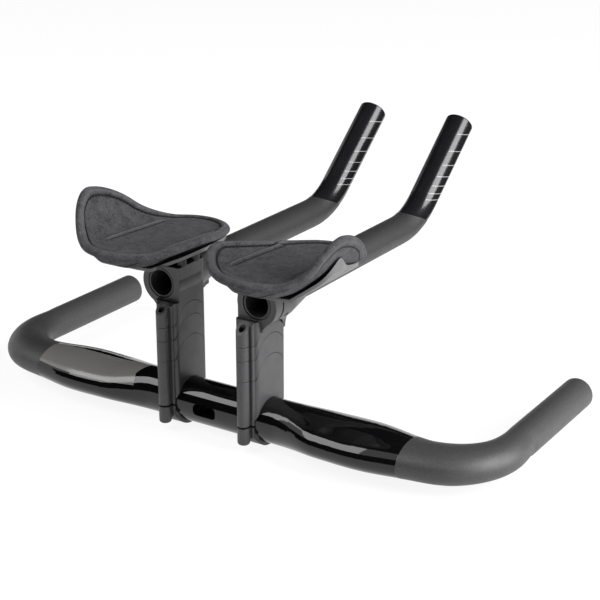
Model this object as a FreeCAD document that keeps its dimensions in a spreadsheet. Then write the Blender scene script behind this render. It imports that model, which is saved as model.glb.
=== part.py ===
# An aero handlebar: a one-piece bullhorn base bar, two stacked riser pylons, two ski-bend extensions
# and two dished armrests. Millimetres. X points to the rider's right, Y forward, Z up, and the origin
# is the middle of the round zone where the stem holds the bar.
import FreeCAD, Part
import math
import os

from FreeCAD import Placement, Rotation, Vector

doc = FreeCAD.newDocument("AeroHandlebar")

SIZES = [
    ("clamp_diameter", 31.8, "round middle of the base bar"),
    ("round_length", 100.0, "length of the round middle"),
    ("wing_chord", 50.0, "fore-and-aft width of the flattened wing"),
    ("wing_height", 28.0, "height of the flattened wing"),
    ("wing_blend", 44.0, "length over which the round middle becomes the wing"),
    ("grip_spacing", 405.6, "distance between the axes of the two grips"),
    ("grip_diameter", 23.2, "outside of a grip"),
    ("grip_bore", 19.4, "open end of a grip"),
    ("grip_bore_depth", 80.0, "depth of the open end"),
    ("grip_reach", 155.5, "forward reach of the grip ends"),
    ("bend_radius", 45.0, "bend of the bar between wing and grip"),
    ("bend_chord", 38.0, "fore-and-aft width of the bar where its bend starts"),
    ("bend_height", 25.2, "height of the bar where its bend starts"),
    ("grip_taper", 16.0, "length over which the bend becomes the round grip"),
    ("grip_round", 1.2, "rounding of the grip ends"),
    ("slot_width", 19.0, "cable slot in the back of the bar"),
    ("slot_height", 8.6, "height of the cable slot"),
    ("slot_depth", 9.0, "depth of the cable slot"),
    ("slot_corner", 3.2, "corner radius of the cable slot"),
    ("slot_offset", 2.5, "how far the slot sits left of the middle"),
    ("pylon_spacing", 67.0, "distance between the two pylons"),
    ("blade_thickness", 18.0, "thickness of a pylon across the bar"),
    ("blade_front_inset", 0.1, "how far the blade's front stays behind the front bolt"),
    ("blade_rear_inset", 3.8, "how far the blade's rear stays ahead of the rear bolt"),
    ("blade_corner", 3.0, "rounding of a pylon's upright edges"),
    ("column_inset", 3.4, "distance of a bolt's axis from the bar's surface"),
    ("column_diameter", 8.8, "outside of a bolt column"),
    ("ridge_width", 13.6, "width of the step between the blade and its rear column"),
    ("ridge_step", 1.7, "how far that step stands behind the blade"),
    ("ridge_corner", 1.0, "rounding of that step's upright edges"),
    ("arch_radius", 17.2, "radius of the arched joints of the stack"),
    ("arch_drop", 14.2, "how far a joint's level ends lie below its crown"),
    ("lower_crown", 48.0, "height of the lower bracket's arch above the bar's axis"),
    ("thick_spacer_height", 15.0, "height of the thick spacer"),
    ("thin_spacer_height", 10.0, "height of the thin spacer"),
    ("clamp_clearance", 0.05, "room between a clamp and what it holds"),
    ("split_gap", 1.0, "gap between the lower cap and the lower bracket"),
    ("cap_wall", 2.5, "wall of the lower cap under the bar"),
    ("boss_depth", 13.4, "depth of the lower cap's bolt bosses below the bar's axis"),
    ("boss_round", 2.0, "rounded end of a bolt boss"),
    ("bolt_diameter", 4.0, "shank of a riser bolt"),
    ("bolt_head", 6.4, "head of a riser bolt"),
    ("bolt_head_height", 4.0, "height of a riser bolt's head"),
    ("bolt_socket", 3.0, "hexagon socket across its flats"),
    ("bolt_socket_depth", 2.4, "depth of that socket"),
    ("bolt_room", 0.2, "room around a riser bolt"),
    ("bolt_sink", 0.4, "depth of a riser bolt's head below the face of its boss"),
    ("bolt_cover", 6.0, "depth of the bolt's end below the mouth of its hole"),
    ("mouth_diameter", 4.8, "mouth of the bolt hole"),
    ("extension_offset", 6.2, "how far outside the pylon's middle the extension's axis lies"),
    ("ring_floor", 2.9, "wall between the top joint's crown and the extension"),
    ("ring_roof", 1.9, "wall between the extension and the flat that carries the armrest"),
    ("extension_diameter", 22.2, "outside of an extension"),
    ("extension_wall", 2.0, "wall of an extension"),
    ("extension_rear", 11.0, "how far the extension's end lies behind the bar's axis"),
    ("extension_corner", 202.0, "where the two straight runs of an extension would meet"),
    ("extension_rise", 99.0, "length from that corner to the tip"),
    ("extension_angle", 40.0, "upward bend in degrees"),
    ("extension_bend", 62.0, "radius of the extension's bend"),
    ("tip_round", 1.2, "rounding of the extension's ends"),
    ("ring_wall", 4.6, "wall of the ring round the extension"),
    ("ring_front", 35.0, "front end of the ring"),
    ("ring_lip", 0.6, "wall that is left at the front end of the ring"),
    ("ring_taper", 21.0, "length over which the ring thins towards its front end"),
    ("gusset_width", 11.6, "width of the web under the ring's front"),
    ("gusset_radius", 13.0, "hollow of that web"),
    ("gusset_root", 5.0, "how far that web reaches into the blade"),
    ("flare_radius", 16.0, "hollow of the flare from the blade's side to the ring"),
    ("relief_place", 3.5, "distance of the relief groove behind the bar's axis"),
    ("relief_width", 2.0, "width of the relief groove"),
    ("relief_depth", 0.9, "depth of the relief groove"),
    ("relief_start", 4.0, "how far outside the extension's axis the relief groove starts"),
    ("mouth_drop", 5.0, "drop from the top joint's crown to the bolt hole's mouth"),
    ("mouth_slope", 40.0, "slope of that mouth, in degrees"),
    ("set_screw_diameter", 5.0, "set screw of the extension ring"),
    ("set_screw_socket", 2.5, "hexagon socket of the set screw"),
    ("set_screw_place", 6.0, "distance of the set screw in front of the bar's axis"),
    ("set_screw_angle", 42.0, "angle of the set screw below level, in degrees"),
    ("set_screw_sink", 0.8, "depth of the set screw below the ring's surface"),
    ("shell_thickness", 2.2, "plate of the armrest shell"),
    ("pad_thickness", 11.0, "foam in the middle of the armrest pad"),
    ("pad_edge", 4.6, "thickness of the pad at its rim"),
    ("pad_gap", 0.7, "fastening layer between shell and pad"),
    ("pad_offset", 21.2, "how far outside the pylon's middle the armrest's middle lies"),
    ("pad_half_width", 49.5, "half width of the pad at its wings"),
    ("pad_wing_place", -8.0, "where along the ride the wings are widest"),
    ("pad_front", 79.0, "length of the pad ahead of its widest place"),
    ("pad_rear", 45.8, "length of the pad behind its widest place"),
    ("pad_rear_point", 0.6, "how pointed the rear outline is; a half makes an ellipse"),
    ("pad_pitch", 3.1, "how far the pad leans down towards its front, in degrees"),
    ("pad_level_place", 9.0, "place along the ride where the leaning pad keeps its height"),
    ("pad_waist", 0.1, "hollow of the outline between wings and front, as a share of the half width"),
    ("floor_inner_part", 16.7, "part of the flat floor inside the armrest's middle"),
    ("floor_outer_part", 18.5, "part of the flat floor outside the armrest's middle"),
    ("inner_wing_radius", 54.0, "curve of the inner wing, along the middle of the rim"),
    ("outer_wing_radius", 25.0, "curve of the outer wing, along the middle of the rim"),
    ("outer_wing_angle", 65.0, "slope at which the outer wing goes on straight, in degrees"),
    ("pad_floor_share", 0.3, "share of the half width over which the pad keeps its full foam"),
    ("pad_wing_share", 0.72, "share of the half width from which its wings are as thin as the rim"),
    ("fold_inner_past", 2.0, "how far past the pad's floor the shell's inner fold lies"),
    ("fold_outer_past", 2.8, "how far past the pad's floor the shell's outer fold lies"),
    ("fold_share", 0.33, "how far the fold moves from face to face, as a share of the plate"),
    ("shell_wing_room", 1.7, "room between the pad's wings and the shell's"),
    ("shell_front_inset", 3.0, "how much shorter than the pad the shell is at its front"),
    ("shell_rear_inset", 25.0, "how much shorter than the pad the shell is at its rear"),
    ("shell_side_inset", 3.0, "how much narrower than the pad the shell is at its wings"),
    ("shell_boss", 7.0, "boss under the shell at each screw"),
    ("shell_boss_height", 5.6, "height of that boss above the bracket's flat"),
    ("rest_screw_inset", 2.7, "distance of the armrest screws from the blade's inner side"),
    ("rest_screw_first", -4.0, "place of the rear armrest screw along the ride"),
    ("rest_screw_pitch", 15.0, "distance between the armrest screws"),
    ("rest_screw_diameter", 3.0, "shank of an armrest screw"),
    ("rest_screw_head", 5.6, "countersunk head of an armrest screw"),
    ("rest_screw_length", 8.0, "length of an armrest screw"),
    ("rest_screw_socket", 2.0, "hexagon socket of an armrest screw"),
    ("rest_screw_cone", 0.7, "height of its countersunk head, as a share of the shell's plate"),
    ("rest_screw_key", 0.6, "depth of its socket, as a share of the shell's plate"),
    ("cutter_past", 5.0, "how far a cutter reaches past what it cuts"),
]

DERIVED = [
    ("column_offset", "clamp_diameter / 2 + column_inset", "distance of the bolts from the bar's axis"),
    ("blade_front", "column_offset - blade_front_inset", "reach of a pylon ahead of the bar's axis"),
    ("blade_rear", "column_offset - blade_rear_inset", "reach of a pylon behind the bar's axis"),
    ("top_crown", "lower_crown + thick_spacer_height + thin_spacer_height", "height of the top joint"),
    ("mouth_rise", "top_crown - mouth_drop", "height of the bolt hole's mouth behind its column"),
    ("extension_lift", "top_crown + ring_floor + extension_diameter / 2", "height of the extensions"),
    ("rest_lift", "extension_lift + extension_diameter / 2 + ring_roof", "height of the armrest's flat"),
    ("extension_spacing", "pylon_spacing + 2 * extension_offset", "distance between the extensions"),
    ("pad_middle", "pylon_spacing / 2 + pad_offset", "distance of the armrest from the bar's middle"),
    ("floor_inner", "pad_middle - floor_inner_part", "inner end of the pad's flat floor"),
    ("floor_outer", "pad_middle + floor_outer_part", "outer end of the pad's flat floor"),
    ("shell_fold_inner", "floor_inner - fold_inner_past", "fold of the shell's inner wing"),
    ("shell_fold_outer", "floor_outer + fold_outer_past", "fold of the shell's outer wing"),
    ("rest_screw_place", "(pylon_spacing - blade_thickness) / 2 + rest_screw_inset",
     "distance of the armrest screws from the bar's middle"),
]

sheet = doc.addObject("Spreadsheet::Sheet", "Sizes")
formulas = [(alias, "=" + formula, meaning) for alias, formula, meaning in DERIVED]
for row, (alias, value, meaning) in enumerate(SIZES + formulas, start=1):
    sheet.set("A%d" % row, alias)
    sheet.set("B%d" % row, str(value))
    sheet.set("C%d" % row, meaning)
    sheet.setAlias("B%d" % row, alias)
doc.recompute()

TURNS = {
    "X": Rotation(Vector(0, 1, 0), 90),
    "Y": Rotation(Vector(1, 0, 0), -90),
    "Z": Rotation(),
}
FLUSH = 0.2
TOUCH = 0.01
PAST = "Sizes.cutter_past"


def size(name):
    """The value of one size in the sheet."""
    return float(sheet.get(name))


def bind(feature, **expressions):
    """Ties a feature's properties to the sheet; at_x, at_y and at_z stand for its place."""
    for name, expression in expressions.items():
        if name.startswith("at_"):
            name = "Placement.Base." + name[3:]
        feature.setExpression(name, expression)
    return feature


def cylinder(name, axis, radius, length, x="0", y="0", z="0"):
    """A cylinder that starts at a point and runs along X, Y or Z."""
    feature = doc.addObject("Part::Cylinder", name)
    feature.Placement = Placement(Vector(), TURNS[axis])
    return bind(feature, Radius=radius, Height=length, at_x=x, at_y=y, at_z=z)


def cone(name, axis, first, last, length, x="0", y="0", z="0"):
    """A cone that starts at a point and runs along X, Y or Z."""
    feature = doc.addObject("Part::Cone", name)
    feature.Placement = Placement(Vector(), TURNS[axis])
    return bind(feature, Radius1=first, Radius2=last, Height=length, at_x=x, at_y=y, at_z=z)


def box(name, x, y, z, along_x, along_y, along_z):
    """A box from its lowest corner and its three lengths."""
    feature = doc.addObject("Part::Box", name)
    return bind(feature, at_x=x, at_y=y, at_z=z, Length=along_x, Width=along_y, Height=along_z)


def hexagon(name, axis, flats, length, x="0", y="0", z="0"):
    """A hexagon bar, given across its flats."""
    feature = doc.addObject("Part::Prism", name)
    feature.Polygon = 6
    feature.Placement = Placement(Vector(), TURNS[axis])
    return bind(feature, Circumradius="(%s) / sqrt(3)" % flats, Height=length, at_x=x, at_y=y, at_z=z)


def fuse(name, *features):
    """Several features as one solid."""
    result = doc.addObject("Part::MultiFuse", name)
    result.Shapes = list(features)
    result.Refine = True
    return result


def common(name, *features):
    """What several features share."""
    result = doc.addObject("Part::MultiCommon", name)
    result.Shapes = list(features)
    return result


def cut(name, base, *tools):
    """A feature less its tools."""
    result = doc.addObject("Part::Cut", name)
    result.Base = base
    result.Tool = tools[0] if len(tools) == 1 else fuse(name + "Tools", *tools)
    return result


def fillet(name, base, radius, wanted):
    """Rounds each edge of a feature for which wanted(edge) is true."""
    doc.recompute()
    result = doc.addObject("Part::Fillet", name)
    result.Base = base
    edges = base.Shape.Edges
    result.Edges = [(i, radius, radius) for i, edge in enumerate(edges, start=1) if wanted(edge)]
    return result


def held(name, shape):
    """A feature that holds a shape worked out from the sheet."""
    feature = doc.addObject("Part::Feature", name)
    feature.Shape = shape
    return feature


def runs_along(edge, axis):
    """Whether a straight edge runs along a direction."""
    first, last = edge.Vertexes[0].Point, edge.Vertexes[-1].Point
    length = (last - first).Length
    return length > 0 and abs((last - first).dot(axis)) > 0.999 * length


def lies_at(edge, height):
    """Whether an edge lies in the level plane at a height."""
    box_of_edge = edge.BoundBox
    return abs(box_of_edge.ZMin - height) < 1e-4 and abs(box_of_edge.ZMax - height) < 1e-4


# The base bar
def bar_stations():
    """Sections of the right half of the bar: place, heading, chord and height.

    The round middle swells into the wing by a smooth step, and the wing narrows to the grip's round
    section while the centre line turns forward through a quarter circle.
    """
    round_size = size("clamp_diameter")
    chord, height = size("wing_chord"), size("wing_height")
    grip, radius = size("grip_diameter"), size("bend_radius")
    start, blend = size("round_length") / 2, size("wing_blend")
    bend_start = size("grip_spacing") / 2 - radius
    stations = []
    for share in (0.0, 0.2, 0.4, 0.6, 0.8, 1.0):
        step = share * share * (3 - 2 * share)
        stations.append((start + share * blend, 0.0, 0.0, round_size + step * (chord - round_size),
                         round_size + step * (height - round_size)))
    stations.append(((start + blend + bend_start) / 2, 0.0, 0.0, chord, height))
    run = radius * math.pi / 2 + size("grip_taper")
    for turn in (0.0, 22.5, 45.0, 67.5, 90.0):
        angle = math.radians(turn)
        share = radius * angle / run
        step = share * share * (3 - 2 * share)
        stations.append((bend_start + radius * math.sin(angle), radius * (1 - math.cos(angle)), angle,
                         size("bend_chord") + step * (grip - size("bend_chord")),
                         size("bend_height") + step * (grip - size("bend_height"))))
    stations.append((bend_start + radius, radius + size("grip_taper"), math.pi / 2, grip, grip))
    return stations


def bar_section(index, x, y, heading, chord, height):
    """One upright ellipse across the bar's centre line."""
    ellipse = doc.addObject("Part::Ellipse", "BarSection%d" % index)
    across = Vector(-math.sin(heading), math.cos(heading), 0)
    along = Vector(math.cos(heading), math.sin(heading), 0)
    ellipse.MajorRadius = max(chord, height) / 2
    ellipse.MinorRadius = min(chord, height) / 2
    ellipse.Placement = Placement(Vector(x, y, 0), Rotation(across, Vector(0, 0, 1), along, "XYZ"))
    return ellipse


def base_bar():
    """The one-piece bar with its open grip ends and its cable slot."""
    middle = cylinder("BarMiddle", "X", "Sizes.clamp_diameter / 2", "Sizes.round_length",
                      x="-Sizes.round_length / 2")
    wing = doc.addObject("Part::Loft", "RightWing")
    wing.Sections = [bar_section(i, *station) for i, station in enumerate(bar_stations())]
    wing.Solid = True
    wing.Ruled = False
    straight = "Sizes.grip_reach - Sizes.bend_radius - Sizes.grip_taper"
    grip = cylinder("RightGrip", "Y", "Sizes.grip_diameter / 2", straight, x="Sizes.grip_spacing / 2",
                    y="Sizes.bend_radius + Sizes.grip_taper")
    bore = cylinder("RightGripBore", "Y", "Sizes.grip_bore / 2", "Sizes.grip_bore_depth + " + PAST,
                    x="Sizes.grip_spacing / 2", y="Sizes.grip_reach - Sizes.grip_bore_depth")
    tip = fillet("RightGripRound", grip, size("grip_round"),
                 lambda e: e.BoundBox.YMin > size("grip_reach") - TOUCH)
    slot_block = box("SlotBlock", "-Sizes.slot_offset - Sizes.slot_width / 2",
                     "-Sizes.clamp_diameter / 2 - " + PAST, "-Sizes.slot_height / 2",
                     "Sizes.slot_width", "Sizes.slot_depth + " + PAST, "Sizes.slot_height")
    slot = fillet("CableSlot", slot_block, size("slot_corner"),
                  lambda e: runs_along(e, Vector(0, 1, 0)))
    pieces = [middle, wing, tip, mirror("LeftWing", wing), mirror("LeftGrip", tip)]
    return cut("BaseBar", fuse("BarBody", *pieces), bore, mirror("LeftGripBore", bore), slot)


def mirror(name, source):
    """The same feature on the other side of the bar."""
    result = doc.addObject("Part::Mirroring", name)
    result.Source = source
    result.Base = Vector()
    result.Normal = Vector(1, 0, 0)
    return result


# The riser pylon, right side
PYLON_X = "Sizes.pylon_spacing / 2"
PYLON_SIDE = "Sizes.pylon_spacing / 2 - Sizes.blade_thickness / 2"
CUTTER_SIDE = PYLON_SIDE + " - " + PAST
CUTTER_WIDTH = "Sizes.blade_thickness + 2 * " + PAST
BOLT_PLACES = {"Front": "Sizes.column_offset", "Rear": "-Sizes.column_offset"}


def below_joint(name, crown, bottom):
    """All of the pylon's room from a height up to a joint: an arch over the blade between level ends."""
    reach = "(Sizes.column_offset + Sizes.column_diameter)"
    level = box(name + "Level", CUTTER_SIDE, "-" + reach, bottom, CUTTER_WIDTH, "2 * " + reach,
                "%s - Sizes.arch_drop - (%s)" % (crown, bottom))
    arch = cylinder(name + "Arch", "X", "Sizes.arch_radius", CUTTER_WIDTH, CUTTER_SIDE,
                    "(Sizes.blade_front - Sizes.blade_rear) / 2", "%s - Sizes.arch_radius" % crown)
    return fuse(name, level, arch)


CROWNS = {
    "Lower": "Sizes.lower_crown",
    "Middle": "(Sizes.lower_crown + Sizes.thick_spacer_height)",
    "Upper": "Sizes.top_crown",
}


def pylon_blank(name, bottom, height, column=None):
    """The pylon's upright bar: a rounded blade, a bolt column at each end, a step before the rear one."""
    column = column or height
    upright = Vector(0, 0, 1)
    block = box(name + "Block", PYLON_SIDE, "-Sizes.blade_rear", bottom,
                "Sizes.blade_thickness", "Sizes.blade_front + Sizes.blade_rear", height)
    step = box(name + "Step", PYLON_X + " - Sizes.ridge_width / 2",
               "-Sizes.blade_rear - Sizes.ridge_step", bottom,
               "Sizes.ridge_width", "Sizes.blade_rear", column)
    parts = [
        fillet(name + "Blade", block, size("blade_corner"), lambda e: runs_along(e, upright)),
        fillet(name + "Ridge", step, size("ridge_corner"), lambda e: runs_along(e, upright)),
    ]
    for end, place in BOLT_PLACES.items():
        parts.append(cylinder(name + end + "Column", "Z", "Sizes.column_diameter / 2", column,
                              PYLON_X, place, bottom))
    return fuse(name, *parts)


def bolt_holes(name, bottom, height):
    """The two upright holes through which the riser bolts pass."""
    radius = "Sizes.bolt_diameter / 2 + Sizes.bolt_room"
    return [cylinder(name + end, "Z", radius, height, PYLON_X, place, bottom)
            for end, place in BOLT_PLACES.items()]


def bar_bore(name):
    """The bar's round zone with the clamp's room, as a cutter."""
    return cylinder(name, "X", "Sizes.clamp_diameter / 2 + Sizes.clamp_clearance",
                    CUTTER_WIDTH, x=CUTTER_SIDE)


def lower_cap():
    """The half clamp under the bar, with a round boss for each bolt's head."""
    depth = "(Sizes.clamp_diameter / 2 + Sizes.cap_wall)"
    blank = pylon_blank("CapBlank", "-" + depth, depth + " - Sizes.split_gap / 2")
    saddle = common("CapSaddle", blank,
                    cylinder("CapRound", "X", depth, CUTTER_WIDTH, x=CUTTER_SIDE))
    parts, tools = [saddle], [bar_bore("CapBore")]
    for end, place in BOLT_PLACES.items():
        boss = cylinder("CapBoss" + end, "Z", "Sizes.column_diameter / 2",
                        "Sizes.boss_depth - Sizes.split_gap / 2", PYLON_X, place, "-Sizes.boss_depth")
        parts.append(fillet("CapBossRound" + end, boss, size("boss_round"),
                            lambda e: lies_at(e, -size("boss_depth"))))
        tools.append(cylinder("CapHead" + end, "Z", "Sizes.bolt_head / 2 + Sizes.bolt_room",
                              "Sizes.bolt_head_height + " + PAST, PYLON_X, place,
                              "-Sizes.boss_depth - " + PAST))
    tools += bolt_holes("CapHole", "-Sizes.boss_depth", "Sizes.boss_depth")
    return cut("RightLowerCap", fuse("CapSolid", *parts), *tools)


def lower_bracket():
    """The bracket that stands on the bar and ends in the lowest joint."""
    bottom = "Sizes.split_gap / 2"
    blank = pylon_blank("LowerBlank", bottom, "Sizes.lower_crown")
    room = below_joint("LowerRoom", CROWNS["Lower"], bottom)
    holes = bolt_holes("LowerHole", "0", "Sizes.lower_crown")
    return cut("RightLowerBracket", common("LowerSolid", blank, room), bar_bore("LowerBore"), *holes)


def spacer(name, low, high):
    """A slice of the pylon between two joints."""
    bottom = "(%s - 2 * Sizes.arch_drop)" % CROWNS[low]
    height = "(%s - %s)" % (CROWNS[high], bottom)
    blank = pylon_blank(name + "Blank", bottom, height)
    holes = bolt_holes(name + "Hole", bottom, height)
    whole = common(name + "Solid", blank, below_joint(name + "Room", CROWNS[high], bottom))
    return cut(name, whole, below_joint(name + "Under", CROWNS[low], bottom + " - " + PAST), *holes)


EXTENSION_X = "Sizes.extension_spacing / 2"
RING = "(Sizes.extension_diameter / 2 + Sizes.ring_wall)"
MOUTH = "(Sizes.mouth_rise + Sizes.column_diameter / 2)"
BOLT_TOP = "(Sizes.mouth_rise - Sizes.bolt_cover + Sizes.column_diameter / 2)"
REST_SCREW_PLACES = ("Sizes.rest_screw_first", "Sizes.rest_screw_first + Sizes.rest_screw_pitch")


def flare():
    """The web that widens from the blade to the ring.

    Seen along the ride its outer side is an arc that leaves the blade's side upright and meets the ring
    in a tangent.
    """
    centre = Vector(size("extension_spacing") / 2, 0, size("extension_lift"))
    ring = size("extension_diameter") / 2 + size("ring_wall")
    half = size("blade_thickness") / 2 - FLUSH
    hollow = size("flare_radius")
    side = size("pylon_spacing") / 2 + half
    drop = math.sqrt((ring + hollow) ** 2 - (side + hollow - centre.x) ** 2)
    middle = Vector(side + hollow, 0, centre.z - drop)
    foot = Vector(side, 0, middle.z)
    touch = centre + (middle - centre) * (ring / (ring + hollow))
    way = (foot - middle) + (touch - middle)
    belly = middle + way * (hollow / way.Length)
    inner_foot = Vector(side - 2 * half, 0, middle.z)
    inner_top = Vector(inner_foot.x, 0, centre.z)
    edges = [Part.makeLine(inner_foot, foot), Part.Arc(foot, belly, touch).toShape(),
             Part.makeLine(touch, centre), Part.makeLine(centre, inner_top),
             Part.makeLine(inner_top, inner_foot)]
    web = Part.Face(Part.Wire(edges))
    web.translate(Vector(0, FLUSH - size("extension_rear"), 0))
    length = size("extension_rear") + size("blade_front") - size("blade_corner") - 2 * FLUSH
    return web.extrude(Vector(0, length, 0))


def gusset():
    """The web under the ring's front, hollowed by a quarter circle."""
    x = "(Sizes.pylon_spacing + Sizes.extension_spacing) / 4 - Sizes.gusset_width / 2"
    under = "(Sizes.extension_lift - Sizes.extension_diameter / 2 - Sizes.ring_lip)"
    front = "Sizes.blade_front + Sizes.gusset_radius"
    block = box("GussetBlock", x, "Sizes.blade_front - Sizes.gusset_root", under + " - Sizes.gusset_radius",
                "Sizes.gusset_width", "Sizes.gusset_radius + Sizes.gusset_root",
                "Sizes.gusset_radius + Sizes.extension_diameter / 4")
    hollow = cylinder("GussetHollow", "X", "Sizes.gusset_radius", "Sizes.gusset_width + 2 * " + PAST,
                      "%s - %s" % (x, PAST), front, under + " - Sizes.gusset_radius")
    return cut("Gusset", block, hollow)


def slope_cutter():
    """Everything above the slope on which the rear bolt hole opens and the shelf up to the ring."""
    back = -size("column_offset") - size("column_diameter")
    rise = math.tan(math.radians(size("mouth_slope")))
    low = size("mouth_rise") - rise * size("column_diameter") / 2
    shelf = size("extension_lift") - size("extension_diameter") / 2 - 2 * FLUSH
    ring_end = -size("extension_rear") - FLUSH
    top = size("rest_lift") + size("cutter_past")
    x = size("pylon_spacing") / 2 - size("blade_thickness")
    outline = [(back, low), (back + (shelf - low) / rise, shelf), (ring_end, shelf), (ring_end, top),
               (back, top), (back, low)]
    face = Part.Face(Part.makePolygon([Vector(x, y, z) for y, z in outline]))
    return face.extrude(Vector(2 * size("blade_thickness"), 0, 0))


def upper_bracket():
    """The top of the pylon: blade and flare up to the ring round the extension, with a flat on top."""
    bottom = "(%s - 2 * Sizes.arch_drop)" % CROWNS["Upper"]
    blank = pylon_blank("UpperBlank", bottom, "Sizes.rest_lift - %s" % bottom,
                        "%s + Sizes.column_diameter - %s" % (MOUTH, bottom))
    ring = cylinder("Ring", "Y", RING, "Sizes.extension_rear + Sizes.ring_front - Sizes.ring_taper",
                    EXTENSION_X, "-Sizes.extension_rear", "Sizes.extension_lift")
    nose = cone("RingNose", "Y", RING, "Sizes.extension_diameter / 2 + Sizes.ring_lip", "Sizes.ring_taper",
                EXTENSION_X, "Sizes.ring_front - Sizes.ring_taper", "Sizes.extension_lift")
    body = fuse("UpperBody", blank, ring, nose, held("Flare", flare()), gusset())
    tools = [
        held("RearSlope", slope_cutter()),
        below_joint("UpperUnder", CROWNS["Upper"], bottom + " - " + PAST),
        cylinder("RingBore", "Y", "Sizes.extension_diameter / 2 + Sizes.clamp_clearance",
                 "Sizes.extension_rear + Sizes.ring_front + 2 * " + PAST, EXTENSION_X,
                 "-Sizes.extension_rear - " + PAST, "Sizes.extension_lift"),
        box("UpperFlat", CUTTER_SIDE, "-Sizes.extension_rear - " + PAST, "Sizes.rest_lift",
            "Sizes.extension_spacing", "Sizes.extension_rear + Sizes.ring_front + 2 * " + PAST, RING),
        relief_groove(),
        set_screw("SetScrewHole", "Sizes.clamp_clearance", "Sizes.ring_wall + " + PAST),
        bolt_thread("Rear", bottom),
        bolt_thread("Front", bottom),
        cylinder("BoltMouth", "Z", "Sizes.mouth_diameter / 2",
                 "Sizes.column_diameter + Sizes.bolt_cover", PYLON_X, BOLT_PLACES["Rear"], BOLT_TOP),
    ]
    tools += rest_screw_shapes("RestHole", "Sizes.clamp_clearance", head=False)
    return cut("RightUpperBracket", body, *tools)


def bolt_thread(end, bottom):
    """The thread of one riser bolt, which holds its shank without room."""
    return cylinder("UpperHole" + end, "Z", "Sizes.bolt_diameter / 2 + Sizes.clamp_clearance",
                    "%s - %s" % (BOLT_TOP, bottom), PYLON_X, BOLT_PLACES[end], bottom)


def relief_groove():
    """The relief groove round the outer half of the ring."""
    width, place = "Sizes.relief_width", "-Sizes.relief_place"
    outer = cylinder("ReliefOuter", "Y", "%s + %s" % (RING, PAST), width, EXTENSION_X, place,
                     "Sizes.extension_lift")
    inner = cylinder("ReliefInner", "Y", RING + " - Sizes.relief_depth", "%s + 2 * %s" % (width, PAST),
                     EXTENSION_X, "%s - %s" % (place, PAST), "Sizes.extension_lift")
    half = box("ReliefHalf", EXTENSION_X + " + Sizes.relief_start", place,
               "Sizes.extension_lift - Sizes.extension_diameter", "Sizes.extension_diameter", width,
               "2 * Sizes.extension_diameter")
    return cut("ReliefGroove", common("ReliefPart", outer, half), inner)


def set_screw(name, room, length):
    """A round bar through the ring's lower outer wall, from the extension's surface outwards."""
    feature = doc.addObject("Part::Cylinder", name)
    angle = math.radians(size("set_screw_angle"))
    out = Vector(math.cos(angle), 0, -math.sin(angle))
    start = Vector(size("extension_spacing") / 2, size("set_screw_place"), size("extension_lift"))
    start = start + out * (size("extension_diameter") / 2 + 2 * size("clamp_clearance"))
    feature.Placement = Placement(start, Rotation(Vector(0, 0, 1), out))
    return bind(feature, Radius="Sizes.set_screw_diameter / 2 + %s" % room, Height=length)


def clamp_screw():
    """The set screw with its hexagon socket."""
    body = set_screw("SetScrewBody", "0", "Sizes.ring_wall - Sizes.set_screw_sink")
    socket = doc.addObject("Part::Prism", "SetScrewSocket")
    socket.Polygon = 6
    out = body.Placement.Rotation.multVec(Vector(0, 0, 1))
    start = body.Placement.Base + out * (size("ring_wall") / 2 - size("set_screw_sink"))
    socket.Placement = Placement(start, body.Placement.Rotation)
    bind(socket, Circumradius="Sizes.set_screw_socket / sqrt(3)", Height="Sizes.ring_wall")
    return cut("RightClampScrew", body, socket)


def extension_run(name, radius, past):
    """A rod along the extension's straight run, bend and rising run; past lengthens both ends."""
    angle = math.radians(size("extension_angle"))
    bend = size("extension_bend")
    tangent = bend * math.tan(angle / 2)
    length = "Sizes.extension_corner + Sizes.extension_rear + %s - %r" % (past, tangent)
    straight = cylinder(name + "Straight", "Y", radius, length, EXTENSION_X,
                        "-Sizes.extension_rear - %s" % past, "Sizes.extension_lift")
    turn = doc.addObject("Part::Torus", name + "Bend")
    start = Vector(size("extension_spacing") / 2, size("extension_corner") - tangent,
                   size("extension_lift") + bend)
    turn.Placement = Placement(start, Rotation(Vector(0, 0, -1), Vector(0, 1, 0), Vector(1, 0, 0), "XYZ"))
    bind(turn, Radius1="Sizes.extension_bend", Radius2=radius, Angle3="Sizes.extension_angle")
    rising = doc.addObject("Part::Cylinder", name + "Rising")
    out = Vector(0, math.cos(angle), math.sin(angle))
    second = Vector(start.x, size("extension_corner"), size("extension_lift")) + out * tangent
    rising.Placement = Placement(second, Rotation(Vector(0, 0, 1), out))
    bind(rising, Radius=radius, Height="Sizes.extension_rise + %s - %r" % (past, tangent))
    return fuse(name, straight, turn, rising)


def extension():
    """A tube along a straight run, one bend and a rising run, with rounded ends."""
    outer = extension_run("ExtensionOuter", "Sizes.extension_diameter / 2", "0")
    inner = extension_run("ExtensionInner", "Sizes.extension_diameter / 2 - Sizes.extension_wall", PAST)
    tube = cut("ExtensionTube", outer, inner)
    doc.recompute()
    radius = size("extension_diameter") / 2

    def is_rim(edge):
        """Whether an edge is the outer circle of an end face."""
        if edge.Curve.TypeId != "Part::GeomCircle" or abs(edge.Curve.Radius - radius) > 1e-3:
            return False
        beside = tube.Shape.ancestorsOfType(edge, Part.Face)
        return any(face.Surface.TypeId == "Part::GeomPlane" for face in beside)

    return fillet("RightExtension", tube, size("tip_round"), is_rim)


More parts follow.
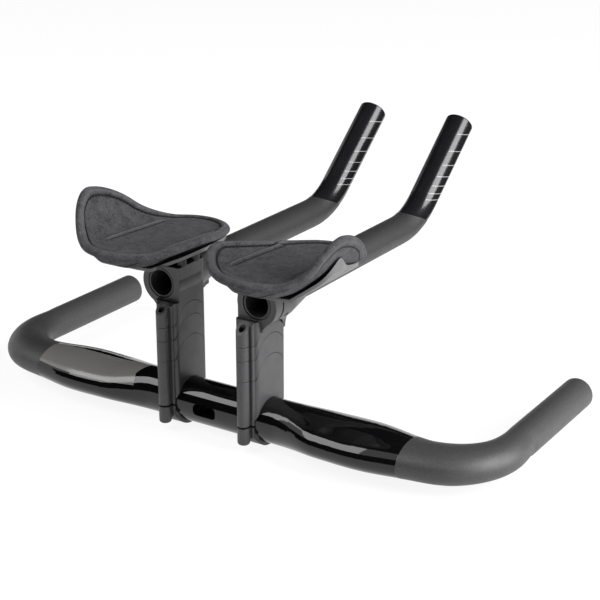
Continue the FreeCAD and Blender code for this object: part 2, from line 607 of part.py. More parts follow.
# The armrest, right side
def trough(across, depth, lift):
    """A point of the armrest's section: across is its plan distance, depth its distance square below it.

    The section runs through the middle of the pad's rim: a flat floor between two arcs, of which the outer
    one goes on straight at its last slope. lift raises the whole section.
    """
    floor = PAD_SEAT + size("pad_thickness") - size("pad_edge") / 2 + lift
    inner, outer = size("floor_inner"), size("floor_outer")
    if across < inner:
        radius = size("inner_wing_radius")
        angle = -math.asin((inner - across) / radius)
        base = Vector(across, 0, floor + radius * (1 - math.cos(angle)))
    elif across > outer:
        radius = size("outer_wing_radius")
        last = math.radians(size("outer_wing_angle"))
        straight = max(0.0, across - outer - radius * math.sin(last))
        angle = last if straight else math.asin((across - outer) / radius)
        base = Vector(across, 0, floor + radius * (1 - math.cos(angle)) + straight * math.tan(last))
    else:
        angle = 0.0
        base = Vector(across, 0, floor)
    return base + Vector(math.sin(angle), 0, -math.cos(angle)) * depth


def half_width(place):
    """The outline's half width: a pointed ellipse behind the wings, a waisted ellipse ahead of them."""
    ahead = place - size("pad_wing_place")
    if ahead > 0:
        share = ahead / size("pad_front")
        hollow = size("pad_waist") * math.sin(math.pi * share)
        return size("pad_half_width") * (math.sqrt(1 - share ** 2) - hollow)
    share = -ahead / size("pad_rear")
    return size("pad_half_width") * (1 - share ** 2) ** size("pad_rear_point")


PAD_SEAT = size("rest_lift") + size("shell_thickness") + size("pad_gap")
SPAN_POINTS = 13
STATIONS = (-0.97, -0.85, -0.6, -0.3, 0.0, 0.18, 0.36, 0.54, 0.72, 0.88, 0.975)


def underside(across, along, lift):
    """The pad's depth below its rim line: a level seat over the floor, half the rim at the outline.

    across and along are shares of the way from the middle to the outline.
    """
    rim = size("pad_edge") / 2
    seat = size("pad_thickness") - rim + lift
    first, last = size("pad_floor_share"), size("pad_wing_share")
    way = min(1.0, max(0.0, (abs(across) - first) / (last - first)))
    return rim + (seat - rim) * (1 - way * way * (3 - 2 * way)) * (1 - along ** 4)


def pad_section(index, share):
    """One closed section of the pad: two curves across it and the short walls that join them."""
    place = size("pad_wing_place") + share * (size("pad_front") if share > 0 else size("pad_rear"))
    lift = math.tan(math.radians(size("pad_pitch"))) * (size("pad_level_place") - place)
    width = half_width(place)
    spans = [2 * i / (SPAN_POINTS - 1) - 1 for i in range(SPAN_POINTS)]
    top = [-size("pad_edge") / 2 for span in spans]
    bottom = [underside(span, share, lift) for span in spans]
    rows = []
    for depths in (top, bottom):
        points = [trough(size("pad_middle") + span * width, depth, lift) + Vector(0, place, 0)
                  for span, depth in zip(spans, depths)]
        curve = Part.BSplineCurve()
        curve.interpolate(points)
        rows.append((points, curve.toShape()))
    (upper, upper_edge), (lower, lower_edge) = rows
    walls = Part.makeLine(upper[-1], lower[-1]), Part.makeLine(lower[0], upper[0])
    return held("PadSection%d" % index, Part.Wire([upper_edge, walls[0], lower_edge, walls[1]]))


def armrest_pad():
    """The foam pad, a dish that thins towards its rim: a loft of sections along the ride."""
    loft = doc.addObject("Part::Loft", "RightPad")
    loft.Sections = [pad_section(index, share) for index, share in enumerate(STATIONS)]
    loft.Solid = True
    loft.Ruled = False
    return loft


def shell_wing(fold, centre, radius, side):
    """One wing of the shell's section from its fold: a line tangent to an arc, and that arc.

    side is 1 for the outer wing and -1 for the inner one. The arc ends level with its centre.
    """
    line = centre - fold
    bearing = math.atan2(line.z, line.x) - side * math.asin(radius / line.Length)
    slope = bearing if side > 0 else math.pi - bearing
    turn = [slope, (slope + math.pi / 2) / 2, math.pi / 2]
    points = [centre + Vector(side * math.sin(a), 0, -math.cos(a)) * radius for a in turn]
    return [Part.makeLine(fold, points[0]), Part.Arc(*points).toShape()], points[-1]


def shell_profile():
    """The shell's section across the ride: a flat floor with a wing folded up at each side."""
    rest, thickness = size("rest_lift"), size("shell_thickness")
    rim_floor = PAD_SEAT + size("pad_thickness") - size("pad_edge") / 2
    room = size("pad_edge") / 2 + size("shell_wing_room")
    edges, floors = [], []
    for side, fold, end in ((-1, "shell_fold_inner", "inner"), (1, "shell_fold_outer", "outer")):
        radius = size(end + "_wing_radius")
        centre = Vector(size("floor_" + end), 0, rim_floor + radius)
        under = Vector(size(fold), 0, rest)
        upon = Vector(size(fold) - side * thickness * size("fold_share"), 0, rest + thickness)
        below, below_end = shell_wing(under, centre, radius + room + thickness, side)
        above, above_end = shell_wing(upon, centre, radius + room, side)
        edges += below + above + [Part.makeLine(below_end, above_end)]
        floors.append((under, upon))
    edges += [Part.makeLine(first, last) for first, last in zip(*floors)]
    return Part.Face(Part.Wire(Part.__sortEdges__(edges)))


def shell_outline():
    """The shell's plan: the pad's outline less its insets at the front, the rear and the wings."""
    middle = size("pad_middle")
    narrow = 1 - size("shell_side_inset") / size("pad_half_width")
    rows = {1: [], -1: []}
    for share in STATIONS:
        length, inset = size("pad_front"), size("shell_front_inset")
        if share < 0:
            length, inset = size("pad_rear"), size("shell_rear_inset")
        width = half_width(size("pad_wing_place") + share * length) * narrow
        for side, row in rows.items():
            row.append(Vector(middle + side * width, size("pad_wing_place") + share * (length - inset), 0))
    edges = []
    for row in rows.values():
        curve = Part.BSplineCurve()
        curve.interpolate(row)
        edges.append(curve.toShape())
    edges += [Part.makeLine(rows[1][end], rows[-1][end]) for end in (0, -1)]
    return Part.Face(Part.Wire(Part.__sortEdges__(edges)))


def armrest_shell():
    """The bent plate under the pad, trimmed to its outline, with a boss and a hole for each screw."""
    sheet_profile = shell_profile()
    sheet_profile.translate(Vector(0, size("pad_wing_place") - size("pad_rear"), 0))
    bent = sheet_profile.extrude(Vector(0, size("pad_rear") + size("pad_front"), 0))
    trim = shell_outline().extrude(Vector(0, 0, 2 * size("rest_lift")))
    plate = common("ShellPlate", held("ShellSheet", bent), held("ShellTrim", trim))
    bosses, holes = [], rest_screw_shapes("ShellHole", "Sizes.clamp_clearance", head=True)
    for index, y in enumerate(REST_SCREW_PLACES):
        bosses.append(cylinder("ShellBoss%d" % index, "Z", "Sizes.shell_boss / 2",
                               "Sizes.shell_boss_height", "Sizes.rest_screw_place", y, "Sizes.rest_lift"))
        holes.append(cylinder("ShellAccess%d" % index, "Z",
                              "Sizes.rest_screw_head / 2 + Sizes.clamp_clearance", "Sizes.shell_boss",
                              "Sizes.rest_screw_place", y, "Sizes.rest_lift + Sizes.shell_thickness"))
    return cut("RightShell", fuse("ShellSolid", plate, *bosses), *holes)


# The fasteners, right side
def riser_bolts():
    """The two long bolts: a socket head in the cap's boss and a shank up into the upper bracket."""
    bolts = []
    under_head = "Sizes.bolt_head_height - Sizes.boss_depth"
    for end, place in BOLT_PLACES.items():
        shank = cylinder("BoltShank" + end, "Z", "Sizes.bolt_diameter / 2",
                         "%s - (%s)" % (BOLT_TOP, under_head), PYLON_X, place, under_head)
        head = cylinder("BoltHead" + end, "Z", "Sizes.bolt_head / 2",
                        "Sizes.bolt_head_height - Sizes.bolt_sink",
                        PYLON_X, place, "Sizes.bolt_sink - Sizes.boss_depth")
        socket = hexagon("BoltSocket" + end, "Z", "Sizes.bolt_socket", "Sizes.bolt_socket_depth",
                         PYLON_X, place, "Sizes.bolt_sink - Sizes.boss_depth")
        bolts.append(cut("RiserBolt" + end, fuse("BoltSolid" + end, shank, head), socket))
    return group("RightRiserBolts", bolts)


def rest_screw_shapes(name, room, head):
    """The armrest screws or, with room, their holes: a shank, and a countersunk head if asked for."""
    top = "Sizes.rest_lift + Sizes.shell_thickness"
    cone_height = "Sizes.shell_thickness * Sizes.rest_screw_cone"
    shapes = []
    x = "Sizes.rest_screw_place"
    for index, y in enumerate(REST_SCREW_PLACES):
        shapes.append(cylinder("%sShank%d" % (name, index), "Z", "Sizes.rest_screw_diameter / 2 + " + room,
                               "Sizes.rest_screw_length + %s" % room, x, y,
                               "%s - Sizes.rest_screw_length - %s" % (top, room)))
        if head:
            shapes.append(cone("%sHead%d" % (name, index), "Z", "Sizes.rest_screw_diameter / 2 + " + room,
                               "Sizes.rest_screw_head / 2 + " + room, cone_height, x, y,
                               "%s - %s" % (top, cone_height)))
    return shapes


def armrest_screws():
    """The two countersunk screws that hold the shell on the bracket's flat."""
    shapes = rest_screw_shapes("RestScrew", "0", head=True)
    screws = []
    socket_floor = "Sizes.rest_lift + Sizes.shell_thickness * (1 - Sizes.rest_screw_key)"
    for index, y in enumerate(REST_SCREW_PLACES):
        shank, head = shapes[2 * index], shapes[2 * index + 1]
        socket = hexagon("RestSocket%d" % index, "Z", "Sizes.rest_screw_socket", "Sizes.shell_thickness",
                         "Sizes.rest_screw_place", y, socket_floor)
        screws.append(cut("RestScrewCut%d" % index, fuse("RestScrewSolid%d" % index, shank, head), socket))
    return group("RightRestScrews", screws)


def group(name, features):
    """Separate solids of one kind, kept together as one sub-part."""
    result = doc.addObject("Part::Compound", name)
    result.Links = features
    return result


RIGHT_PIECES = {
    "lower_cap": lower_cap(),
    "lower_bracket": lower_bracket(),
    "thick_spacer": spacer("RightThickSpacer", "Lower", "Middle"),
    "thin_spacer": spacer("RightThinSpacer", "Middle", "Upper"),
    "upper_bracket": upper_bracket(),
    "extension": extension(),
    "armrest_shell": armrest_shell(),
    "armrest_pad": armrest_pad(),
    "riser_bolts": riser_bolts(),
    "clamp_screw": clamp_screw(),
    "armrest_screws": armrest_screws(),
}

sub_parts = {"base_bar": base_bar()}
for piece_name, piece in RIGHT_PIECES.items():
    sub_parts["right_" + piece_name] = piece
    sub_parts["left_" + piece_name] = mirror("Left" + piece.Name, piece)
doc.recompute()

for label, piece in sub_parts.items():
    piece.Label = label
failed = [item.Name for item in doc.Objects if "Invalid" in item.State or "Error" in item.State]
if failed:
    raise RuntimeError("these features failed: " + ", ".join(failed))
for label, piece in sub_parts.items():
    if piece.Shape.isNull() or not piece.Shape.isValid() or not piece.Shape.Solids:
        raise RuntimeError("this sub-part has no valid shape: " + label)

os.makedirs("parts", exist_ok=True)
for label, piece in sub_parts.items():
    piece.Shape.exportStep("parts/%s.step" % label)
    print("%-22s %d solid(s) %10.1f mm3" % (label, len(piece.Shape.Solids), piece.Shape.Volume))
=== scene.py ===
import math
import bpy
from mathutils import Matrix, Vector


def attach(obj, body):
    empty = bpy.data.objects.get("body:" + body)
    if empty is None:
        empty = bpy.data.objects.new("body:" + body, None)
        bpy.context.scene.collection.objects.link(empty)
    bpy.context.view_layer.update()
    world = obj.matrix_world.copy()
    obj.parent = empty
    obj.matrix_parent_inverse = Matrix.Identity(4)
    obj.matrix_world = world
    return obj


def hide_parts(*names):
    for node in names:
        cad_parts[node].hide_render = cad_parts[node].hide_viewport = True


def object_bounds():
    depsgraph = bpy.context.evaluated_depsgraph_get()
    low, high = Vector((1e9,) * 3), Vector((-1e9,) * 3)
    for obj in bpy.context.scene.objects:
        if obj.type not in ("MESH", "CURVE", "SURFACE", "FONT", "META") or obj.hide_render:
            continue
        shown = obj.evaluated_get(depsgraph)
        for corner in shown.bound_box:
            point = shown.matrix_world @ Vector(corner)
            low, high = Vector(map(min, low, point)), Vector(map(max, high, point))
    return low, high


bl_info = {
    "name": "Aero Handlebar",
    "version": (1, 0, 0),
    "blender": (4, 5, 0),
    "location": "View3D > Sidebar > Handlebar",
    "description": "Paints an aero handlebar, upholsters its armrest pads and sets up its studio",
    "category": "Object",
}

import bpy
import numpy as np
from bpy.props import FloatProperty, FloatVectorProperty, PointerProperty
from mathutils import Matrix, Vector

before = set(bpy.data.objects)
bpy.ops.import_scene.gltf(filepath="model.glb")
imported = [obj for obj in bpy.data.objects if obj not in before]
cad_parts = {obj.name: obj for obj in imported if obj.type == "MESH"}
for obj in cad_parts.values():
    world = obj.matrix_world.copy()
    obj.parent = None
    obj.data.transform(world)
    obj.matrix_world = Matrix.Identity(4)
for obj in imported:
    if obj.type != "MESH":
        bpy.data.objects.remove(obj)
CAD_BOX = [list(corner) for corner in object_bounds()]
SIDES = {"right": 1.0, "left": -1.0}
BODY = "root"
INSET = "inset"


# Sizes and colours that a user would change
def length(name, description, default):
    """A property that holds a length in metres."""
    return FloatProperty(name=name, description=description, default=default, unit="LENGTH", precision=4)


def angle(name, description, degrees):
    """A property that holds an angle, given in degrees."""
    return FloatProperty(name=name, description=description, default=math.radians(degrees), subtype="ANGLE")


def share(name, description, default):
    """A property that holds a share or another plain number."""
    return FloatProperty(name=name, description=description, default=default, precision=3)


def watts(name, description, default):
    """A property that holds a lamp's power."""
    return FloatProperty(name=name, description=description, default=default, unit="POWER")


def colour(name, description, *default):
    """A property that holds a linear colour."""
    return FloatVectorProperty(name=name, description=description, default=default, subtype="COLOR", size=3,
                               min=0.0, max=1.0)


class PadSizes(bpy.types.PropertyGroup):
    """The armrest pad, measured on the right side of the bar."""

    middle: length("Middle", "Distance of the pad's middle from the bar's middle", 0.0547)
    half_width: length("Half width", "Half width at the wings", 0.0495)
    wing_place: length("Wing place", "Where along the ride the wings are widest", -0.008)
    front: length("Front", "Length ahead of the widest place", 0.079)
    rear: length("Rear", "Length behind the widest place", 0.0458)
    rear_point: share("Rear point", "How pointed the rear outline is; a half makes an ellipse", 0.6)
    inner_waist: share("Inner waist", "Hollow ahead of the inner wing, as a share of the half width", 0.1)
    outer_waist: share("Outer waist", "Hollow ahead of the outer wing, as a share of the half width", 0.02)
    floor_inner: length("Inner floor end", "Inner end of the flat floor", 0.038)
    floor_outer: length("Outer floor end", "Outer end of the flat floor", 0.0732)
    inner_radius: length("Inner wing radius", "Curve of the inner wing", 0.054)
    outer_radius: length("Outer wing radius", "Curve of the outer wing", 0.025)
    outer_slope: angle("Outer wing slope", "Slope at which the outer wing goes on straight", 65.0)
    lean: angle("Lean", "How far the pad leans down towards its front", 3.1)
    level_place: length("Level place", "Where along the ride the leaning pad keeps its height", 0.009)
    seat: length("Seat", "Height of the pad's level underside above the bar's axis", 0.1029)
    foam: length("Foam", "Thickness in the middle", 0.011)
    edge: length("Edge", "Thickness at the rim", 0.0046)
    floor_share: share("Floor share", "Share of the half width that has the full foam", 0.3)
    wing_share: share("Wing share", "Share of the half width from which the wings are thin", 0.72)
    band: length("Band", "Width of the bound edge", 0.0068)
    band_swell: length("Band swell", "How far the bound edge stands up", 0.0009)
    crease: length("Crease", "Depth of the crease inside the bound edge", 0.0016)
    panel_drop: length("Panel drop", "How far the inner panel lies below the rim", 0.0006)
    swell: length("Swell", "The most that the inner panel swells", 0.0011)
    rib: length("Rib", "Height of the two sewn ribs", 0.0014)
    rib_width: length("Rib width", "Half width of a rib", 0.0012)
    rib_inner: length("Inner rib", "Place of the inner rib across the bar", 0.027)
    rib_outer: length("Outer rib", "Place of the outer rib across the bar", 0.0768)
    rib_rear: length("Rib rear", "Rear end of the ribs", -0.029)
    rib_front: length("Rib front", "Front end of the ribs", 0.046)
    stitch: length("Stitch", "Length of one stitch", 0.0021)
    stitch_pitch: length("Stitch pitch", "Distance from stitch to stitch", 0.0034)
    thread: length("Thread", "Half thickness of the thread", 0.00028)


class FinishColours(bpy.types.PropertyGroup):
    """The finishes' colours, linear."""

    gloss_black: colour("Gloss black", "Lacquered middle of the bar and rising ends", 0.004, 0.004, 0.0045)
    matte_grey: colour("Matte grey", "Bends and grips of the bar", 0.056, 0.056, 0.057)
    straight_grey: colour("Straight run", "Straight runs of the extensions", 0.033, 0.033, 0.034)
    silver: colour("Silver field", "Plain light field on the left wing", 0.27, 0.266, 0.255)
    mark: colour("Marks", "Cutting marks on the rising ends", 0.3, 0.3, 0.31)
    pylon: colour("Pylon", "Anodised brackets and spacers", 0.058, 0.058, 0.0605)
    shell: colour("Shell", "Moulded armrest shells", 0.14, 0.14, 0.143)
    steel: colour("Steel", "Blackened screws", 0.09, 0.09, 0.095)
    knit: colour("Knit", "Panel of the pads", 0.052, 0.052, 0.0555)
    binding: colour("Binding", "Bound edge of the pads", 0.064, 0.064, 0.068)
    thread: colour("Thread", "Stitches", 0.02, 0.02, 0.021)
    floor: colour("Floor", "Studio floor", 0.86, 0.86, 0.86)
    flag: colour("Flag", "Dark studio cards", 0.008, 0.008, 0.008)


class StudioSizes(bpy.types.PropertyGroup):
    """The camera and the lamps."""

    azimuth: angle("Azimuth", "Camera's turn round the bar from straight behind", 32.670)
    elevation: angle("Elevation", "Camera's height above the horizon", 20.446)
    distance: length("Distance", "Camera's distance", 1.0637)
    aim_right: length("Aim right", "How far right of the origin the camera aims", 0.056138)
    aim_up: length("Aim up", "How far above the origin the camera aims", 0.073803)
    lens: share("Lens", "Focal length in millimetres on a 36 mm sensor", 91.02)
    floor_gap: length("Floor gap", "Gap between the part's lowest point and the floor", 0.0005)
    floor_radius: length("Floor radius", "Radius of the floor", 6.0)
    card_radius: length("Card radius", "Distance of the dark cards from the bar", 2.2)
    card_reach: length("Card reach", "Half length of the dark cards along the bar", 3.4)
    strip_low: angle("Strip low", "Lower edge of the overhead light seen from the bar", 41.0)
    strip_high: angle("Strip high", "Upper edge of the overhead light seen from the bar", 75.0)
    strip_middle: length("Strip middle", "Place of the overhead light along the bar", -1.3)
    strip_length: length("Strip length", "Length of the overhead light along the bar", 1.5)
    strip_energy: watts("Strip", "Overhead light in watts", 26.0)
    side_energy: watts("Side", "Side light in watts", 130.0)
    ambient: share("Ambient", "Strength of the white surroundings on matte surfaces", 0.36)


# Mesh helpers
def grid_faces(rows, columns, closed):
    """Quads of a grid of rows by columns, as vertex numbers; closed joins the last column to the first."""
    number = np.arange(rows * columns).reshape(rows, columns)
    beside = np.roll(number, -1, axis=1) if closed else number[:, 1:]
    here = number if closed else number[:, :-1]
    return np.stack([here[:-1], beside[:-1], beside[1:], here[1:]], axis=-1).reshape(-1, 4)


def outward(points, quads):
    """The quads, turned round where the volume that they enclose comes out negative."""
    a, b, c, d = (points[quads[:, k]] for k in range(4))
    volume = np.einsum("ij,ij->", a, np.cross(b, c)) + np.einsum("ij,ij->", a, np.cross(c, d))
    return quads[:, ::-1] if volume < 0 else quads


def mesh_object(name, points, quads):
    """A new smooth object at the origin from points and quads; a repeated corner makes a triangle."""
    mesh = bpy.data.meshes.new(name)
    faces = [list(dict.fromkeys(quad)) for quad in quads.tolist()]
    mesh.from_pydata(points.tolist(), [], faces)
    mesh.polygons.foreach_set("use_smooth", np.ones(len(faces), dtype=bool))
    mesh.update()
    piece = bpy.data.objects.new(name, mesh)
    bpy.context.scene.collection.objects.link(piece)
    return piece


def grid_object(name, x, y, z, closed=False):
    """A new object from the coordinates of a grid of points."""
    points = np.stack(np.broadcast_arrays(x, y, z), axis=-1)
    return mesh_object(name, points.reshape(-1, 3), grid_faces(*points.shape[:2], closed))


def read(items, name, width=1, kind=float):
    """A property of many mesh elements as an array, with width values to a row."""
    flat = np.empty(len(items) * width, dtype=kind)
    items.foreach_get(name, flat)
    return flat.reshape(-1, width) if width > 1 else flat


def smooth_step(low, high, value):
    """Rises from 0 at low to 1 at high with level ends."""
    t = np.clip((value - low) / (high - low), 0.0, 1.0)
    return t * t * (3 - 2 * t)


def bell(value, width):
    """A bell curve of height 1."""
    return np.exp(-(value / width) ** 2)


# Node helpers
MIX_SOCKETS = {"FLOAT": (2, 3, 0), "VECTOR": (4, 5, 1), "RGBA": (6, 7, 2)}
BORDER = 0.0001


class Tree:
    """Builds a node tree in few words."""

    def __init__(self, tree):
        self.tree = tree

    def put(self, kind, sockets=None, **settings):
        """Adds a node, sets its settings and fills its inputs with values or links."""
        node = self.tree.nodes.new(kind)
        for name, value in settings.items():
            setattr(node, name, value)
        for socket, value in (sockets or {}).items():
            self.fill(node.inputs[socket], value)
        return node

    def fill(self, socket, value):
        """Links an output to a socket, or sets the socket's own value."""
        if isinstance(value, bpy.types.NodeSocket):
            self.tree.links.new(value, socket)
        else:
            socket.default_value = value

    def math(self, operation, *values):
        """The output of a Math node."""
        return self.put("ShaderNodeMath", dict(enumerate(values)), operation=operation).outputs[0]

    def plus(self, first, second):
        """The sum of two values."""
        return self.math("ADD", first, second)

    def minus(self, first, second):
        """The first value less the second."""
        return self.math("SUBTRACT", first, second)

    def times(self, first, second):
        """The product of two values."""
        return self.math("MULTIPLY", first, second)

    def line(self, value, gain, start):
        """A value times a gain, plus a start."""
        return self.math("MULTIPLY_ADD", value, gain, start)

    def size(self, value):
        """A value without its sign."""
        return self.math("ABSOLUTE", value)

    def apart(self, first, second):
        """How far two values lie apart."""
        return self.size(self.minus(first, second))

    def hypot(self, first, second):
        """The length of two ways that lie square to each other."""
        return self.math("SQRT", self.plus(self.times(first, first), self.times(second, second)))

    def step(self, value, low, high):
        """A smooth step of a value from 0 at low to 1 at high."""
        node = self.put("ShaderNodeMapRange", {"Value": value, "From Min": low, "From Max": high},
                        interpolation_type="SMOOTHSTEP")
        return node.outputs["Result"]

    def above(self, value, place):
        """1 where a value is above a place and 0 below it, with a narrow border."""
        return self.step(value, place - BORDER, place + 2 * BORDER)

    def below(self, value, place):
        """1 where a value is below a place and 0 above it, with a narrow border."""
        return self.step(value, place + 2 * BORDER, place - BORDER)

    def window(self, value, low, high, fade):
        """1 where a value lies between two places, with soft borders inside them."""
        return self.times(self.step(value, low, low + fade), self.step(value, high, high - fade))

    def between(self, kind, factor, first, second):
        """The output of a Mix node."""
        low, high, out = MIX_SOCKETS[kind]
        return self.put("ShaderNodeMix", {0: factor, low: first, high: second}, data_type=kind).outputs[out]

    def mix(self, factor, first, second):
        """A mix of two colours."""
        return self.between("RGBA", factor, first, second)

    def blend(self, factor, first, second):
        """A mix of two numbers."""
        return self.between("FLOAT", factor, first, second)

    def lean(self, factor, first, second):
        """A direction between two directions."""
        mixed = self.between("VECTOR", factor, first, second)
        return self.put("ShaderNodeVectorMath", {0: mixed}, operation="NORMALIZE").outputs[0]

    def noise(self, vector, scale, detail=2.0, roughness=0.5):
        """The value of a noise texture."""
        node = self.put("ShaderNodeTexNoise", {"Vector": vector, "Scale": scale, "Detail": detail,
                                               "Roughness": roughness})
        return node.outputs[0]

    def axes(self, vector):
        """The three parts of a vector."""
        return self.put("ShaderNodeSeparateXYZ", {0: vector}).outputs

    def normal(self):
        """The surface's own normal."""
        return self.put("ShaderNodeNewGeometry").outputs["Normal"]

    def bump(self, height, distance, normal=None):
        """A normal that follows a height."""
        sockets = {"Height": height, "Distance": distance, "Strength": 1.0}
        if normal is not None:
            sockets["Normal"] = normal
        return self.put("ShaderNodeBump", sockets).outputs[0]

    def shade(self, sockets):
        """Ends a material's tree with a Principled shader."""
        shader = self.put("ShaderNodeBsdfPrincipled", sockets).outputs[0]
        self.put("ShaderNodeOutputMaterial", {"Surface": shader})


def tint(value, factor=1.0):
    """A colour with full alpha, made lighter or darker by a factor."""
    return (*[min(1.0, factor * part) for part in value], 1.0)


# Shared groups of nodes
VECTOR_AND_SCALE = {"Vector": "NodeSocketVector", "Scale": "NodeSocketFloat"}
MOTTLE_SHARE = 0.035
MOTTLE_LEVELS = (0.32, 0.68)
SPECKLE_SHARE = 0.45
SPECKLE_LEVELS = (0.3, 0.7)
WANDER_SCALE = 400.0
WANDER = 0.0007
NAP_SHARE = 0.16
NAP_LEVELS = (0.3, 0.7)


def shared_group(name, outputs):
    """A new shader node group with a vector and a scale; returns its builder, inputs and output sockets."""
    tree = bpy.data.node_groups.new(name, "ShaderNodeTree")
    for socket, kind in VECTOR_AND_SCALE.items():
        tree.interface.new_socket(name=socket, in_out="INPUT", socket_type=kind)
    for socket in outputs:
        tree.interface.new_socket(name=socket, in_out="OUTPUT", socket_type="NodeSocketFloat")
    given = tree.nodes.new("NodeGroupInput").outputs
    return Tree(tree), given["Vector"], given["Scale"], tree.nodes.new("NodeGroupOutput").inputs


def use_group(build, tree, place, scale):
    """Places a shared group in a material and returns its outputs."""
    return build.put("ShaderNodeGroup", {"Vector": place, "Scale": scale}, node_tree=tree).outputs


def fine_grain():
    """Fine grain from noise in space: a height for bumps, fine speckles and a slow mottling.

    The group is made when it is first asked for.
    """
    made = bpy.data.node_groups.get("fine_grain")
    if made:
        return made
    build, place, scale, out = shared_group("fine_grain", ("Height", "Mottle", "Speckle"))
    slow = build.noise(place, build.times(scale, MOTTLE_SHARE), detail=4.0)
    speckle = build.noise(place, build.times(scale, SPECKLE_SHARE))
    build.fill(out["Height"], build.noise(place, scale, detail=3.0, roughness=0.6))
    build.fill(out["Mottle"], build.step(slow, *MOTTLE_LEVELS))
    build.fill(out["Speckle"], build.step(speckle, *SPECKLE_LEVELS))
    return build.tree


def knit_group():
    """Knitted cloth: two crossed rows of rounded loops under a brushed nap, and the shade between them."""
    build, place, scale, out = shared_group("knit", ("Height", "Shade"))
    wander = build.put("ShaderNodeTexNoise", {"Vector": place, "Scale": WANDER_SCALE, "Detail": 2.0})
    shift = build.put("ShaderNodeVectorMath", {0: wander.outputs["Color"], 1: (0.5, 0.5, 0.5)},
                      operation="SUBTRACT").outputs[0]
    moved = build.put("ShaderNodeVectorMath", {0: shift, 1: (WANDER, WANDER, WANDER), 2: place},
                      operation="MULTIPLY_ADD").outputs[0]
    x, y, z = build.axes(moved)
    along = build.times(build.plus(y, build.times(z, 0.4)), scale)
    across = build.times(build.plus(x, build.times(z, 0.7)), scale)
    wale = build.size(build.math("SINE", across))
    course = build.size(build.math("SINE", build.plus(along, build.times(wale, 0.9))))
    loops = build.times(build.math("POWER", wale, 0.6), build.math("POWER", course, 0.6))
    nap = build.step(build.noise(place, build.times(scale, NAP_SHARE), detail=4.0), *NAP_LEVELS)
    build.fill(out["Height"], build.plus(build.times(loops, 0.35), nap))
    build.fill(out["Shade"], build.line(loops, 0.25, build.times(nap, 0.75)))
    return build.tree


# Parts of finishes
PAINT_GRAIN = 2000.0
PAINT_DEPTH = 0.00007
EDGE_LEVELS = (0.99, 0.86)
OPEN_LEVELS = (0.85, 0.2)


def blank(collection, name):
    """A new material or world with an empty node tree, and the tree's builder."""
    made = collection.new(name)
    made.use_nodes = True
    made.node_tree.nodes.clear()
    return made, Tree(made.node_tree)


def finish_material(name):
    """A new material, its builder and its object coordinates."""
    material, build = blank(bpy.data.materials, name)
    return material, build, build.put("ShaderNodeTexCoord").outputs["Object"]


def layered(build, base, tone, *layers):
    """A tone under layers of its base colour, each given by its cover and its lightness."""
    for cover, factor in layers:
        tone = build.mix(cover, tone, tint(base, factor))
    return tone


def soft_edges(build, radius):
    """A normal that turns smoothly over sharp edges, and a mask along those edges for wear and a painted
    highlight.
    """
    turned = build.put("ShaderNodeBevel", {"Radius": radius}, samples=6).outputs[0]
    level = build.put("ShaderNodeVectorMath", {0: turned, 1: build.normal()}, operation="DOT_PRODUCT")
    return turned, build.step(level.outputs["Value"], *EDGE_LEVELS)


def crevice_shade(build, distance):
    """How deep a place lies in a crevice, as a mask for painted shade: 0 in the open, 1 in a narrow gap."""
    open_part = build.put("ShaderNodeAmbientOcclusion", {"Distance": distance}, samples=8).outputs["AO"]
    return build.step(open_part, *OPEN_LEVELS)


def matte_paint(build, place, base):
    """Matte paint, speckled and slightly mottled: its colour, its roughness and its grain."""
    grains = use_group(build, fine_grain(), place, PAINT_GRAIN)
    speckled = build.mix(grains["Speckle"], tint(base, 0.82), tint(base, 1.18))
    tone = build.mix(build.times(grains["Mottle"], 0.3), speckled, tint(base, 0.8))
    return tone, build.line(grains["Mottle"], 0.06, 0.46), grains


# Finish of the base bar
GLOSS_END = 0.1515
FIELD_END = 0.066
FIELD_LOW = 0.0062
FIELD_FRONT = 0.0035
NOTCH_PLACE = -0.010
NOTCH_SLOPE = 0.35
GRIP_JOIN = 0.061
JOIN_REACH = 0.014
JOIN_ROUND = 0.007


def over_join(build, y):
    """A normal that runs smoothly from the bend into the grip, where the solid has a faint kink."""
    plain = build.normal()
    turned = build.put("ShaderNodeBevel", {"Radius": JOIN_ROUND}, samples=12).outputs[0]
    return build.lean(build.step(build.apart(y, GRIP_JOIN), JOIN_REACH, JOIN_REACH / 2), plain, turned)


def bar_finish(colours):
    """Black lacquer in the middle, a plain silver field on the left wing, and matte grey past the wings."""
    material, build, place = finish_material("bar_lacquer")
    x, y, z = build.axes(place)
    matte = build.above(build.size(x), GLOSS_END)
    notch = build.times(build.apart(y, NOTCH_PLACE), NOTCH_SLOPE)
    field = build.above(build.minus(notch, x), FIELD_END)
    field = build.times(field, build.times(build.above(z, FIELD_LOW), build.below(y, FIELD_FRONT)))
    field = build.times(field, build.minus(1.0, matte))
    lacquer = build.mix(field, tint(colours.gloss_black), tint(colours.silver))
    dull, rough, grains = matte_paint(build, place, colours.matte_grey)
    build.shade({
        "Base Color": build.mix(matte, lacquer, dull),
        "Roughness": build.blend(matte, build.line(field, 0.12, 0.045), rough),
        "Normal": build.bump(build.times(grains["Height"], matte), PAINT_DEPTH, over_join(build, y)),
    })
    return material


# Finish of the pylons
JOINT_CROWNS = (0.048, 0.063, 0.073)
JOINT_WIDTH = 0.00014
ARCH_RADIUS = 0.0172
ARCH_DROP = 0.0142
ARCH_MIDDLE = 0.00185
SPLIT_HALF = 0.0008
COLUMN_PLACE = (0.0335, -0.0193)
COLUMN_RADIUS = 0.0046
COLUMN_FADE = 0.0004
LEDGE_LOW = 0.060
LEDGE_HIGH = 0.080
LEDGE_FADE = 0.001
LEDGE_FRONT = -0.0105
FRONT_FADE = 0.0005
LEVEL_FACES = (0.4, 0.6)
PYLON_EDGE = 0.0008
PYLON_CREVICE_SHADE = 0.008
BLAST_GRAIN = 3200.0
BLAST_DEPTH = 0.0002


